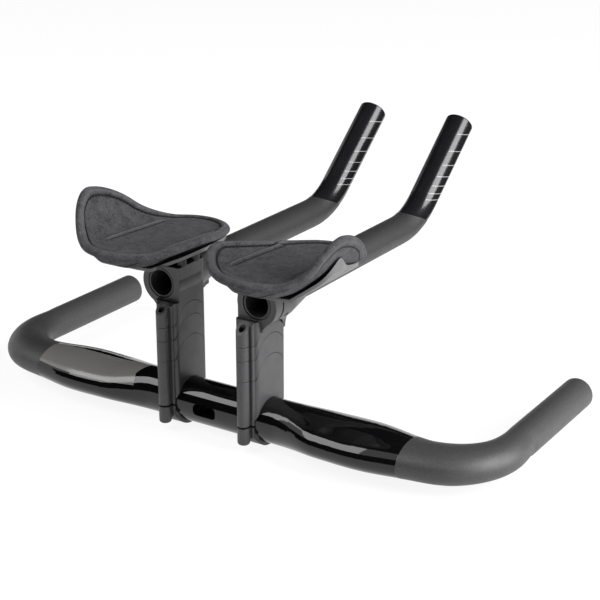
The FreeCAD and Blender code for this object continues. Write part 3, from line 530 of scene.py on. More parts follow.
def joint_line_group():
    """The thin dark joints of the stack: a mask along each arch and its level ends.

    A joint is the upper edge of a level band and a circle joined together, so its distance is that from the
    circle above the level, and that from the level outside the circle.
    """
    build, place, width, out = shared_group("joint_lines", ("Mask",))
    y, z = build.axes(place)[1:]
    ahead = build.minus(y, ARCH_MIDDLE)
    nearest = None
    for crown in JOINT_CROWNS:
        above = build.minus(z, crown - ARCH_DROP)
        past = build.minus(build.hypot(ahead, build.minus(z, crown - ARCH_RADIUS)), ARCH_RADIUS)
        arch = build.plus(build.size(past), build.math("LESS_THAN", above, 0.0))
        level = build.plus(build.size(above), build.math("LESS_THAN", past, 0.0))
        here = build.math("MINIMUM", arch, level)
        nearest = here if nearest is None else build.math("MINIMUM", nearest, here)
    build.fill(out["Mask"], build.step(nearest, build.times(width, 1.6), width))
    return build.tree


def split_line(build, place):
    """A mask along the split between the lower cap and its bracket."""
    return build.step(build.size(build.axes(place)[2]), SPLIT_HALF * 1.4, SPLIT_HALF)


def rear_ledge_shade(build, place):
    """A mask of painted shade on the flat ledge beside the rear bolt column, darkened because the real
    bracket has none.
    """
    x, y, z = build.axes(place)
    away = build.hypot(build.minus(build.size(x), COLUMN_PLACE[0]), build.minus(y, COLUMN_PLACE[1]))
    beside = build.step(away, COLUMN_RADIUS, COLUMN_RADIUS + COLUMN_FADE)
    level = build.step(build.axes(build.normal())[2], *LEVEL_FACES)
    high = build.window(z, LEDGE_LOW, LEDGE_HIGH, LEDGE_FADE)
    behind = build.step(y, LEDGE_FRONT, LEDGE_FRONT - FRONT_FADE)
    return build.times(build.times(level, beside), build.times(high, behind))


def pylon_finish(colours):
    """Satin anodised metal with a bead-blasted grain, soft edges and dark joint lines; its edges are
    lightened as wear and as a painted highlight, and painted shade lies in crevices and on the rear ledge.
    """
    material, build, place = finish_material("pylon_anodised")
    grains = use_group(build, fine_grain(), place, BLAST_GRAIN)
    line = use_group(build, joint_line_group(), place, JOINT_WIDTH)["Mask"]
    height = build.minus(build.times(grains["Height"], 0.2), line)
    line = build.math("MAXIMUM", line, split_line(build, place))
    edge, wear_and_highlight = soft_edges(build, PYLON_EDGE)
    wear_and_highlight = build.times(wear_and_highlight, build.line(grains["Speckle"], 0.5, 0.3))
    build.shade({
        "Base Color": layered(
            build, colours.pylon, tint(colours.pylon),
            (build.times(grains["Mottle"], 0.3), 0.82),
            # edges lightened as wear and as a painted highlight
            (wear_and_highlight, 3.2),
            # painted shade in crevices
            (crevice_shade(build, PYLON_CREVICE_SHADE), 0.12),
            # painted shade on the rear ledge
            (build.times(rear_ledge_shade(build, place), 0.8), 0.1),
            (line, 0.08),
        ),
        "Roughness": build.line(grains["Mottle"], 0.07, 0.4),
        "Normal": build.bump(height, BLAST_DEPTH, edge),
    })
    return material


# Finish of the extensions
RISE_START = (0.202, 0.087)
RISE_ANGLE = math.radians(40.0)
GLOSS_TILT = math.radians(64.85)
GLOSS_PLANE = 0.169
EXTENSION_X = 0.0397
MARK_FIRST = 0.029
MARK_STEP = 0.006
MARK_GROWTH = 1.23
MARK_COUNT = 7
MARK_HALF = 0.00035
MARK_LEAN = 0.79
MARK_LEVEL = 0.006
MARK_SIDE = 0.0072


def cutting_marks(build, x, y, z):
    """A mask of the cutting marks.

    They lie at first + step (growth^k - 1) / (growth - 1) from the corner along the rising run, and lean
    forward over the tube's right side.
    """
    ahead, up = build.minus(y, RISE_START[0]), build.minus(z, RISE_START[1])
    cosine, sine = math.cos(RISE_ANGLE), math.sin(RISE_ANGLE)
    along = build.plus(build.times(ahead, cosine), build.times(up, sine))
    over = build.minus(build.times(up, cosine), build.times(ahead, sine))
    along = build.line(build.plus(over, MARK_LEVEL), MARK_LEAN, along)
    gain = MARK_GROWTH - 1
    grown = build.line(build.minus(along, MARK_FIRST), gain / MARK_STEP, 1.0)
    nearest = build.math("ROUND", build.math("LOGARITHM", grown, MARK_GROWTH))
    whole = build.math("MINIMUM", build.math("MAXIMUM", nearest, 0.0), MARK_COUNT - 1.0)
    mark = build.line(build.minus(build.math("POWER", MARK_GROWTH, whole), 1.0), MARK_STEP / gain, MARK_FIRST)
    lines = build.step(build.apart(along, mark), MARK_HALF + BORDER, MARK_HALF - BORDER)
    beside = build.minus(x, build.times(build.math("SIGN", x), EXTENSION_X))
    return build.times(lines, build.step(beside, MARK_SIDE, MARK_SIDE + 3 * BORDER))


def extension_finish(colours):
    """Matte grey straight run, and black lacquered rising end with cutting marks."""
    material, build, place = finish_material("extension_lacquer")
    x, y, z = build.axes(place)
    tilt = build.plus(build.times(y, math.cos(GLOSS_TILT)), build.times(z, math.sin(GLOSS_TILT)))
    gloss = build.above(tilt, GLOSS_PLANE)
    marks = cutting_marks(build, x, y, z)
    lacquer = build.mix(marks, tint(colours.gloss_black, 2.5), tint(colours.mark))
    dull, rough, grains = matte_paint(build, place, colours.straight_grey)
    build.shade({
        "Base Color": build.mix(gloss, dull, lacquer),
        "Roughness": build.blend(gloss, rough, build.line(grains["Mottle"], 0.04, 0.17)),
        "Normal": build.bump(build.times(grains["Height"], build.minus(1.0, gloss)), PAINT_DEPTH),
    })
    return material


# Finishes of the shells and screws
BOSS_END = 0.0325
BOSS_TOP = 0.1062
BOSS_FADE = 0.0005
SHELL_EDGE = 0.0006
SHELL_CREVICE_SHADE = 0.006
SPARK_GRAIN = 1800.0
SPARK_DEPTH = 0.00005
TURNED_GRAIN = 5200.0
TURNED_DEPTH = 0.00004


def shell_finish(colours):
    """Moulded plastic with a fine spark grain and soft edges lightened as wear and as a painted highlight,
    with painted shade round the screws' bosses and in crevices.
    """
    material, build, place = finish_material("shell_moulding")
    grains = use_group(build, fine_grain(), place, SPARK_GRAIN)
    edge, wear_and_highlight = soft_edges(build, SHELL_EDGE)
    axes = build.axes(place)
    # painted shade round the screws' bosses, under the pad
    boss_shade = build.times(build.step(build.size(axes[0]), BOSS_END, BOSS_END - BOSS_FADE),
                       build.step(axes[2], BOSS_TOP, BOSS_TOP - BOSS_FADE))
    build.shade({
        "Base Color": layered(
            build, colours.shell, tint(colours.shell),
            (build.times(grains["Mottle"], 0.3), 0.85),
            # edges lightened as wear and as a painted highlight
            (build.times(wear_and_highlight, 0.5), 1.8),
            (boss_shade, 0.2),
            # painted shade in crevices
            (crevice_shade(build, SHELL_CREVICE_SHADE), 0.2),
        ),
        "Roughness": build.line(grains["Mottle"], 0.08, 0.42),
        "Normal": build.bump(grains["Height"], SPARK_DEPTH, edge),
    })
    return material


def steel_finish(colours):
    """Blackened steel with fine turning marks."""
    material, build, place = finish_material("screw_steel")
    grains = use_group(build, fine_grain(), place, TURNED_GRAIN)
    build.shade({
        "Base Color": build.mix(grains["Mottle"], tint(colours.steel), tint(colours.steel, 0.7)),
        "Metallic": 0.85,
        "Roughness": build.line(grains["Height"], 0.2, 0.28),
        "Normal": build.bump(grains["Height"], TURNED_DEPTH),
    })
    return material


# Finishes of the pads
PANEL_CLOTH = {"scale": 5200.0, "depth": 0.0003}
BINDING_CLOTH = {"scale": 6400.0, "depth": 0.00025}
WEAR_GRAIN = 900.0
PATCH_GRAIN = 300.0
RIB_FADE = 0.01
CREASE_PAST = 0.0003
CREASE_WIDTH = 0.0008
CREASE_SHADE_FADE = (0.0012, 0.0004)
CROWN_HIGHLIGHT_PLACE = 0.75
CROWN_HIGHLIGHT_FADE = (0.0016, 0.0002)
CLOTH_CREVICE_SHADE = 0.004
TWIST_SCALE = 900.0
TWIST_DEPTH = 0.0001


def sewn_rib_group(sizes):
    """The two sewn ribs of a pad: a mask along their crests for a painted highlight and one along the grooves
    beside them for painted shade.
    """
    build, place, width, out = shared_group("sewn_ribs", ("Crest_highlight", "Groove_shade"))
    x, y = build.axes(place)[:2]
    side = build.size(x)
    nearest = build.math("MINIMUM", build.apart(side, sizes.rib_inner), build.apart(side, sizes.rib_outer))
    away = build.math("DIVIDE", nearest, width)
    ends = build.window(y, sizes.rib_rear, sizes.rib_front, RIB_FADE)
    build.fill(out["Crest_highlight"], build.times(build.step(away, 1.1, 0.2), ends))
    build.fill(out["Groove_shade"], build.times(build.step(build.apart(away, 1.9), 0.8, 0.2), ends))
    return build.tree


def cloth_finish(name, base, sizes, groups, scale, depth):
    """Brushed knit: bumpy loops, dark between them, with a soft sheen and sewn ribs; painted highlights on
    the rib crests and the bound edge's crown, and painted shade in the rib grooves, the crease and crevices.
    """
    material, build, place = finish_material(name)
    knit, ribs = groups
    loops = use_group(build, knit, place, scale)
    grains = use_group(build, fine_grain(), place, WEAR_GRAIN)
    patches = use_group(build, fine_grain(), place, PATCH_GRAIN)
    sewn = use_group(build, ribs, place, sizes.rib_width)
    inset = build.put("ShaderNodeAttribute", attribute_name=INSET).outputs["Fac"]
    # painted shade along the crease inside the bound edge
    crease = build.step(build.apart(inset, sizes.band + CREASE_PAST), *CREASE_SHADE_FADE)
    # painted highlight along the crown of the bound edge
    crown = build.step(build.apart(inset, sizes.edge * CROWN_HIGHLIGHT_PLACE), *CROWN_HIGHLIGHT_FADE)
    tone = layered(
        build, base, build.mix(loops["Shade"], tint(base, 0.35), tint(base, 1.7)),
        (build.times(grains["Mottle"], 0.35), 1.25),
        (build.times(grains["Speckle"], 0.6), 0.3),
        (build.times(patches["Speckle"], 0.5), 1.7),
        # painted highlight on the rib crests and painted shade in the grooves beside them
        (build.times(sewn["Crest_highlight"], 0.75), 2.3),
        (build.times(sewn["Groove_shade"], 0.9), 0.14),
        (crease, 0.12),
        (build.times(crown, 0.4), 1.9),
        # painted shade in crevices
        (crevice_shade(build, CLOTH_CREVICE_SHADE), 0.15),
    )
    build.shade({
        "Base Color": tone,
        "Roughness": build.line(grains["Mottle"], 0.1, 0.78),
        "Specular IOR Level": 0.2,
        "Sheen Weight": 0.06,
        "Sheen Roughness": 0.5,
        "Sheen Tint": (0.75, 0.75, 0.8, 1.0),
        "Normal": build.bump(loops["Height"], depth),
    })
    return material


def thread_finish(colours):
    """Dark sewing thread with a twist."""
    material, build, place = finish_material("sewing_thread")
    wave = build.put("ShaderNodeTexWave", {"Vector": place, "Scale": TWIST_SCALE, "Distortion": 1.5})
    twist = wave.outputs[1]
    build.shade({
        "Base Color": build.mix(twist, tint(colours.thread), tint(colours.thread, 2.2)),
        "Roughness": 0.7,
        "Normal": build.bump(twist, TWIST_DEPTH),
    })
    return material


# The armrest pads
TURNS = 192
PANEL_ROWS = 44
BAND_ROWS = 12
RIM_ROWS = 9
UNDER_ROWS = 18
BINDING_ROW = PANEL_ROWS + 2
FREE_ROWS = PANEL_ROWS - 3
PANEL_MARGIN = 0.0022
CENTRE_AHEAD = 0.012
PRESSURE = 4.0
CLOTH_FRAMES = 20
RIB_TAPER = 0.012
GROOVE_PLACE = 2.1
GROOVE_DEPTH = 0.35
PATH_STEPS = 4000
STITCH_STEPS = 7
STITCH_SIDES = 6
TINY = 1e-9


def pad_along(sizes, y):
    """The way from the wings, as a share of the pad's length ahead of them or behind them."""
    return (y - sizes.wing_place) / np.where(y > sizes.wing_place, sizes.front, sizes.rear)


def pad_share(sizes, outer, along, round_part):
    """The outline's half width as a share of that at the wings.

    It is the round part, less a waist of sin(pi along) ahead of the wings, and raised to a power behind them.
    """
    waist = np.where(outer, sizes.outer_waist, sizes.inner_waist)
    hollow = round_part - waist * np.sin(np.pi * np.clip(along, 0, 1))
    return np.where(along > 0, hollow, round_part ** (2 * sizes.rear_point))


def pad_outline(sizes, turn):
    """The pad's outline seen from above at the angle turn, round the middle of the wings."""
    sine, cosine = np.sin(turn), np.cos(turn)
    wide = pad_share(sizes, cosine > 0, sine, np.abs(cosine))
    x = sizes.middle + np.sign(cosine) * sizes.half_width * wide
    y = sizes.wing_place + np.where(sine > 0, sizes.front, sizes.rear) * sine
    return x, y


def pad_half_width(sizes, x, y):
    """The outline's half width at a place along the ride, on the side of x."""
    along = np.clip(pad_along(sizes, y), -1, 1)
    return sizes.half_width * pad_share(sizes, x > sizes.middle, along, np.sqrt(1 - along ** 2))


def pad_trough(sizes, x, y):
    """Height, slope and lift of the leaning trough in which the pad's rim lies.

    The floor is flat, the inner wing an arc, and the outer wing an arc that goes on straight.
    """
    lift = math.tan(sizes.lean) * (sizes.level_place - y)
    floor = sizes.seat + sizes.foam - sizes.edge / 2 + lift
    inner = -np.arcsin(np.clip((sizes.floor_inner - x) / sizes.inner_radius, 0, 1))
    beyond = np.clip((x - sizes.floor_outer) / sizes.outer_radius, 0, math.sin(sizes.outer_slope))
    outer = np.arcsin(beyond)
    straight = np.clip(x - sizes.floor_outer - sizes.outer_radius * math.sin(sizes.outer_slope), 0, None)
    height = (floor + sizes.inner_radius * (1 - np.cos(inner)) + sizes.outer_radius * (1 - np.cos(outer))
              + straight * math.tan(sizes.outer_slope))
    return height, inner + outer, lift


def pad_depth(sizes, x, y, lift):
    """The pad's depth under the trough: level under the floor, half the rim under the wings and the ends."""
    rim = sizes.edge / 2
    seat = sizes.foam - rim + lift
    across = np.abs(x - sizes.middle) / np.maximum(pad_half_width(sizes, x, y), 1e-6)
    way = smooth_step(sizes.floor_share, sizes.wing_share, across)
    along = np.clip(pad_along(sizes, y), -1, 1)
    return rim + (seat - rim) * (1 - way) * (1 - along ** 4)


def pad_profile(sizes, inset):
    """Height of the pad's upper face above its rim line, by its distance from the outline.

    A swollen bound edge, a crease inside it and a panel that lies a little lower.
    """
    half = sizes.edge / 2
    roll = np.clip(1 - ((inset - half) / (sizes.band - half) * 2 - 1) ** 2, 0, 1)
    panel = smooth_step(sizes.band, sizes.band + PANEL_MARGIN, inset)
    return (half + sizes.band_swell * roll - sizes.panel_drop * panel
            - sizes.crease * bell(inset - sizes.band - CREASE_PAST, CREASE_WIDTH))


def pad_rays(sizes, turn):
    """Rays from the pad's centre to its outline, and each ray's length as the inset counts it.

    The length is taken square to the outline and along the sloping surface, so that the bound edge is as wide
    on a steep wing as on the floor.
    """
    edge_x, edge_y = pad_outline(sizes, turn)
    centre = np.array([sizes.middle, sizes.wing_place + CENTRE_AHEAD])
    ray_x, ray_y = edge_x - centre[0], edge_y - centre[1]
    plan = np.hypot(ray_x, ray_y)
    along_x = np.roll(edge_x, -1) - np.roll(edge_x, 1)
    along_y = np.roll(edge_y, -1) - np.roll(edge_y, 1)
    run = np.maximum(np.hypot(along_x, along_y), TINY)
    square = np.abs(ray_x * along_y - ray_y * along_x) / (plan * run)
    inside = 1 - sizes.band / 2 / plan
    slope = pad_trough(sizes, centre[0] + inside * ray_x, centre[1] + inside * ray_y)[1]
    steep = np.sqrt(1 + (np.tan(slope) * ray_x / plan) ** 2)
    return centre, ray_x, ray_y, plan * np.clip(square, 0.6, 1) * steep


def pad_points(sizes):
    """The pad as rows round its middle: panel, bound edge, rounded rim and underside; with their insets."""
    turn = np.linspace(0, 2 * np.pi, TURNS, endpoint=False)
    centre, ray_x, ray_y, reach = pad_rays(sizes, turn)
    half = sizes.edge / 2
    panel_edge = sizes.band + PANEL_MARGIN
    panel = reach - np.linspace(0, 1, PANEL_ROWS)[:, None] * (reach - panel_edge)
    band = np.repeat(np.linspace(panel_edge, half, BAND_ROWS + 1)[1:, None], TURNS, axis=1)
    swing = np.linspace(np.pi / 2, -np.pi / 2, RIM_ROWS + 2)[1:-1, None]
    rim = np.repeat(half * (1 - np.cos(swing)), TURNS, axis=1)
    under = half + np.linspace(0, 1, UNDER_ROWS)[:, None] ** 1.5 * (reach - half)
    inset = np.concatenate([panel, band, rim, under])
    part = 1 - inset / reach
    x = centre[0] + part * ray_x
    y = centre[1] + part * ray_y
    height, slope, lift = pad_trough(sizes, x, y)
    rise = np.concatenate([
        pad_profile(sizes, np.concatenate([panel, band])),
        np.repeat(half * np.sin(swing), TURNS, axis=1),
        -pad_depth(sizes, x, y, lift)[-UNDER_ROWS:],
    ])
    return np.stack([x - np.sin(slope) * rise, y, height + np.cos(slope) * rise], axis=-1), inset


def closed_rows(points):
    """Points, quads and the used numbers, for rows that close at both ends in a single point."""
    rows, columns = points.shape[:2]
    quads = grid_faces(rows, columns, closed=True)
    flat = points.reshape(-1, 3).copy()
    last = (rows - 1) * columns
    quads = np.where(quads < columns, 0, quads)
    quads = np.where(quads >= last, last, quads)
    used, numbers = np.unique(quads, return_inverse=True)
    flat[0] = points[0].mean(axis=0)
    flat[last] = points[-1].mean(axis=0)
    return flat[used], numbers.reshape(quads.shape), used


def swell(piece, free, most):
    """Blows up the free points by cloth pressure, lets none move further than most, and keeps the result."""
    rest = read(piece.data.vertices, "co", 3)
    pins = piece.vertex_groups.new(name="sewn_down")
    pins.add(np.flatnonzero(~free).tolist(), 1.0, "REPLACE")
    cloth = piece.modifiers.new("foam", "CLOTH")
    cloth.settings.vertex_group_mass = pins.name
    cloth.settings.use_pressure = True
    cloth.settings.uniform_pressure_force = PRESSURE
    cloth.settings.effector_weights.gravity = 0.0
    cloth.point_cache.frame_start = 1
    cloth.point_cache.frame_end = CLOTH_FRAMES
    scene = bpy.context.scene
    for number in range(1, CLOTH_FRAMES + 1):
        scene.frame_set(number)
    shaped = piece.evaluated_get(bpy.context.evaluated_depsgraph_get())
    move = read(shaped.to_mesh().vertices, "co", 3) - rest
    shaped.to_mesh_clear()
    piece.modifiers.remove(cloth)
    piece.vertex_groups.remove(pins)
    scene.frame_set(1)
    far = np.linalg.norm(move, axis=1, keepdims=True)
    move *= np.minimum(1.0, most / np.maximum(far, TINY))
    piece.data.vertices.foreach_set("co", (rest + move).ravel())
    piece.data.update()


def set_inset(mesh, values):
    """Keeps each point's distance from the outline for the cloth's material."""
    kept = mesh.attributes.new(INSET, "FLOAT", "POINT")
    kept.data.foreach_set("value", np.ascontiguousarray(values, dtype=np.float32))


def refined(piece):
    """The points, point normals, quads, material numbers and insets of a piece after one subdivision."""
    rounding = piece.modifiers.new("rounding", "SUBSURF")
    rounding.levels = rounding.render_levels = 1
    shaped = piece.evaluated_get(bpy.context.evaluated_depsgraph_get())
    mesh = shaped.to_mesh()
    points = read(mesh.vertices, "co", 3)
    normals = read(mesh.vertex_normals, "vector", 3)
    quads = read(mesh.loops, "vertex_index", kind=np.int32).reshape(-1, 4)
    numbers = read(mesh.polygons, "material_index", kind=np.int32)
    inset = read(mesh.attributes[INSET].data, "value")
    shaped.to_mesh_clear()
    return points, normals, quads, numbers, inset


def with_ribs(sizes, points, normals):
    """The points with two sewn ribs raised from the panel, each with grooves beside it and tapered ends."""
    ends = smooth_step(sizes.rib_rear, sizes.rib_rear + RIB_TAPER, points[:, 1])
    ends *= 1 - smooth_step(sizes.rib_front - RIB_TAPER, sizes.rib_front, points[:, 1])
    lift = np.zeros(len(points))
    aside = GROOVE_PLACE * sizes.rib_width
    for place in (sizes.rib_inner, sizes.rib_outer):
        across = points[:, 0] - place
        grooves = bell(across - aside, sizes.rib_width) + bell(across + aside, sizes.rib_width)
        lift += sizes.rib * (bell(across, sizes.rib_width) - GROOVE_DEPTH * grooves)
    facing_up = normals[:, 2] > 0.3
    return points + normals * (lift * ends * facing_up)[:, None]


def stitches(sizes):
    """A row of short threads along the crease: capsules whose ends dive into the cloth."""
    turn = np.linspace(0, 2 * np.pi, PATH_STEPS, endpoint=False)
    centre, ray_x, ray_y, reach = pad_rays(sizes, turn)
    inset = sizes.band + CREASE_PAST
    part = 1 - inset / reach
    x = centre[0] + part * ray_x
    y = centre[1] + part * ray_y
    height, slope = pad_trough(sizes, x, y)[:2]
    up = np.stack([-np.sin(slope), np.zeros_like(slope), np.cos(slope)], axis=-1)
    path = np.stack([x, y, height], axis=-1) + up * pad_profile(sizes, np.full_like(x, inset))[:, None]
    run = np.concatenate([[0.0], np.cumsum(np.linalg.norm(np.diff(path, axis=0), axis=1))])
    starts = np.arange(0, run[-1] - sizes.stitch, sizes.stitch_pitch)
    steps = np.linspace(0, 1, STITCH_STEPS)
    at = starts[:, None] + steps * sizes.stitch
    line, above = (np.stack([np.interp(at, run, rows[:, k]) for k in range(3)], axis=-1)
                   for rows in (path, up))
    ahead = np.gradient(line, axis=1)
    ahead /= np.linalg.norm(ahead, axis=-1, keepdims=True)
    aside = np.cross(ahead, above)
    bow = np.sin(np.pi * steps)
    thick = sizes.thread * (0.35 + 0.65 * np.sqrt(bow))
    line = line + above * (sizes.thread * (1.6 * bow - 0.6))[None, :, None]
    ring = np.linspace(0, 2 * np.pi, STITCH_SIDES, endpoint=False)
    tube = (line[:, :, None] + thick[None, :, None, None]
            * (aside[:, :, None] * np.cos(ring)[:, None] + above[:, :, None] * np.sin(ring)[:, None]))
    quads = grid_faces(STITCH_STEPS, STITCH_SIDES, closed=True)
    first = np.arange(len(starts))[:, None, None] * STITCH_STEPS * STITCH_SIDES
    return tube.reshape(-1, 3), (quads[None] + first).reshape(-1, 4)


# Operators of the bar
def paint(material, *names):
    """Gives CAD nodes a material in place of their own."""
    for name in names:
        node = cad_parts[name]
        node.data.materials.clear()
        node.data.materials.append(material)


def both_sides(*names):
    """The node names of both sides."""
    return [side + "_" + name for name in names for side in SIDES]


class HANDLEBAR_OT_paint_bar(bpy.types.Operator):
    """Paint the base bar"""

    bl_idname = "handlebar.paint_bar"
    bl_label = "Paint Base Bar"

    def execute(self, context):
        paint(bar_finish(context.scene.handlebar_finish), "base_bar")
        return {"FINISHED"}


class HANDLEBAR_OT_finish_pylons(bpy.types.Operator):
    """Finish the caps, brackets and spacers of the riser pylons"""

    bl_idname = "handlebar.finish_pylons"
    bl_label = "Finish Pylons"

    def execute(self, context):
        material = pylon_finish(context.scene.handlebar_finish)
        stack = ("lower_cap", "lower_bracket", "thick_spacer", "thin_spacer", "upper_bracket")
        paint(material, *both_sides(*stack))
        return {"FINISHED"}


class HANDLEBAR_OT_paint_extensions(bpy.types.Operator):
    """Paint the extensions"""

    bl_idname = "handlebar.paint_extensions"
    bl_label = "Paint Extensions"

    def execute(self, context):
        paint(extension_finish(context.scene.handlebar_finish), *both_sides("extension"))
        return {"FINISHED"}


class HANDLEBAR_OT_finish_shells(bpy.types.Operator):
    """Finish the armrest shells"""

    bl_idname = "handlebar.finish_shells"
    bl_label = "Finish Shells"

    def execute(self, context):
        paint(shell_finish(context.scene.handlebar_finish), *both_sides("armrest_shell"))
        return {"FINISHED"}


class HANDLEBAR_OT_blacken_screws(bpy.types.Operator):
    """Blacken the bolts and screws"""

    bl_idname = "handlebar.blacken_screws"
    bl_label = "Blacken Screws"

    def execute(self, context):
        screws = both_sides("riser_bolts", "clamp_screw", "armrest_screws")
        paint(steel_finish(context.scene.handlebar_finish), *screws)
        return {"FINISHED"}


class HANDLEBAR_OT_make_pads(bpy.types.Operator):
    """Upholster the two armrest pads"""

    bl_idname = "handlebar.make_pads"
    bl_label = "Make Armrest Pads"

    def execute(self, context):
        sizes, colours = context.scene.handlebar_pad, context.scene.handlebar_finish
        groups = (knit_group(), sewn_rib_group(sizes))
        panel = cloth_finish("pad_panel", colours.knit, sizes, groups, **PANEL_CLOTH)
        binding = cloth_finish("pad_binding", colours.binding, sizes, groups, **BINDING_CLOTH)
        rows, inset = pad_points(sizes)
        points, quads, used = closed_rows(rows)
        quads = outward(points, quads)
        row_of = used // TURNS
        model = mesh_object("pad_form", points, quads)
        bound = row_of[quads].min(axis=1) >= BINDING_ROW
        model.data.polygons.foreach_set("material_index", bound.astype(np.int32))
        set_inset(model.data, inset.ravel()[used])
        swell(model, row_of < FREE_ROWS, sizes.swell)
        points, normals, quads, numbers, inset = refined(model)
        shaped = with_ribs(sizes, points, normals)
        bpy.data.objects.remove(model)
        for side, sign in SIDES.items():
            mirrored = shaped * (sign, 1.0, 1.0)
            pad = mesh_object(side + "_pad_cushion", mirrored, outward(mirrored, quads))
            pad.data.materials.append(panel)
            pad.data.materials.append(binding)
            pad.data.polygons.foreach_set("material_index", numbers)
            set_inset(pad.data, inset)
            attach(pad, BODY)
            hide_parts(side + "_armrest_pad")
        return {"FINISHED"}


class HANDLEBAR_OT_sew_pads(bpy.types.Operator):
    """Sew the pads' bound edges"""

    bl_idname = "handlebar.sew_pads"
    bl_label = "Sew Armrest Pads"

    def execute(self, context):
        thread = thread_finish(context.scene.handlebar_finish)
        points, quads = stitches(context.scene.handlebar_pad)
        for side, sign in SIDES.items():
            mirrored = points * (sign, 1.0, 1.0)
            row = mesh_object(side + "_pad_stitches", mirrored, outward(mirrored, quads))
            row.data.materials.append(thread)
            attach(row, BODY)
        return {"FINISHED"}


# The studio
WHITE = (1.0, 1.0, 1.0, 1.0)
FLOOR_GLOW = 1.12
FLOOR_SEEN = 0.8
FLOOR_RINGS = (0.0, 0.3, 1.0)
FLOOR_TURNS = 64
SHEET_TURNS = 24
SHEET_ROWS = 12
REAR_CARD_LOW = math.radians(2.0)
TOP_CARD_END = math.radians(172.0)
SIDE_CARD_MIDDLE = (0.06, 0.26)
SIDE_CARD_RADII = (0.2, 2.0)
SIDE_CARD_TURNS = (math.radians(20.0), math.radians(88.0))
SIDE_CARD_RISE = 0.45
SIDE_PLACE = (2.25, 0.5, 1.0)
SIDE_AIM = (0.0, 0.15, 0.05)
SIDE_WIDTH = 1.5
SIDE_HEIGHT = 2.8
SENSOR_WIDTH = 36.0


def arc_sheet(name, radius, first, last, reach):
    """A sheet bent round the bar's axis: radius times the cosine and sine of an angle, from first to last."""
    turn = np.linspace(first, last, SHEET_TURNS)[:, None]
    return grid_object(name, np.array([[-reach, reach]]), -radius * np.cos(turn), radius * np.sin(turn))


def rising_sheet(name, middle, radii, turns, levels):
    """Part of a dish round an upright axis: the level rises with the square of the way between the radii."""
    way = np.linspace(0, 1, SHEET_ROWS)[:, None]
    turn = np.linspace(*turns, SHEET_TURNS)[None, :]
    radius = radii[0] + way * (radii[1] - radii[0])
    level = levels[0] + way ** 2 * (levels[1] - levels[0])
    return grid_object(name, middle[0] + radius * np.cos(turn), middle[1] + radius * np.sin(turn), level)


def flag_finish(colours):
    """Black cloth for the studio's dark cards."""
    material, build = blank(bpy.data.materials, "studio_flag")
    build.shade({"Base Color": tint(colours.flag), "Roughness": 1.0, "Specular IOR Level": 0.0})
    return material


def seen_rays(build):
    """1 for rays from the camera, in reflections and through clear surfaces, 0 for the rest."""
    rays = build.put("ShaderNodeLightPath").outputs
    mirrored = build.math("MAXIMUM", rays["Is Glossy Ray"], rays["Is Transmission Ray"])
    return build.math("MAXIMUM", rays["Is Camera Ray"], mirrored)


def floor_finish(colours):
    """White floor that keeps the shadow and shows as white to the camera and in reflections."""
    material, build = blank(bpy.data.materials, "studio_floor")
    diffuse = build.put("ShaderNodeBsdfDiffuse", {"Color": tint(colours.floor)}).outputs[0]
    glow = build.put("ShaderNodeEmission", {"Color": WHITE, "Strength": FLOOR_GLOW}).outputs[0]
    part = build.times(seen_rays(build), FLOOR_SEEN)
    mixed = build.put("ShaderNodeMixShader", {0: part, 1: diffuse, 2: glow}).outputs[0]
    build.put("ShaderNodeOutputMaterial", {"Surface": mixed})
    return material


def white_world(studio):
    """White surroundings: full white to the camera and in reflections, weaker on matte surfaces."""
    world, build = blank(bpy.data.worlds, "studio_world")
    strength = build.blend(seen_rays(build), studio.ambient, 1.0)
    glow = build.put("ShaderNodeBackground", {"Color": WHITE, "Strength": strength})
    build.put("ShaderNodeOutputWorld", {"Surface": glow.outputs[0]})
    return world


def soft_lamp(name, place, aim, width, height, energy):
    """A rectangular soft light at a place, turned to its aim."""
    lamp = bpy.data.lights.new(name, "AREA")
    lamp.shape = "RECTANGLE"
    lamp.size = width
    lamp.size_y = height
    lamp.energy = energy
    holder = bpy.data.objects.new(name, lamp)
    holder.location = place
    holder.rotation_euler = (Vector(aim) - Vector(place)).to_track_quat("-Z", "Y").to_euler()
    bpy.context.scene.collection.objects.link(holder)


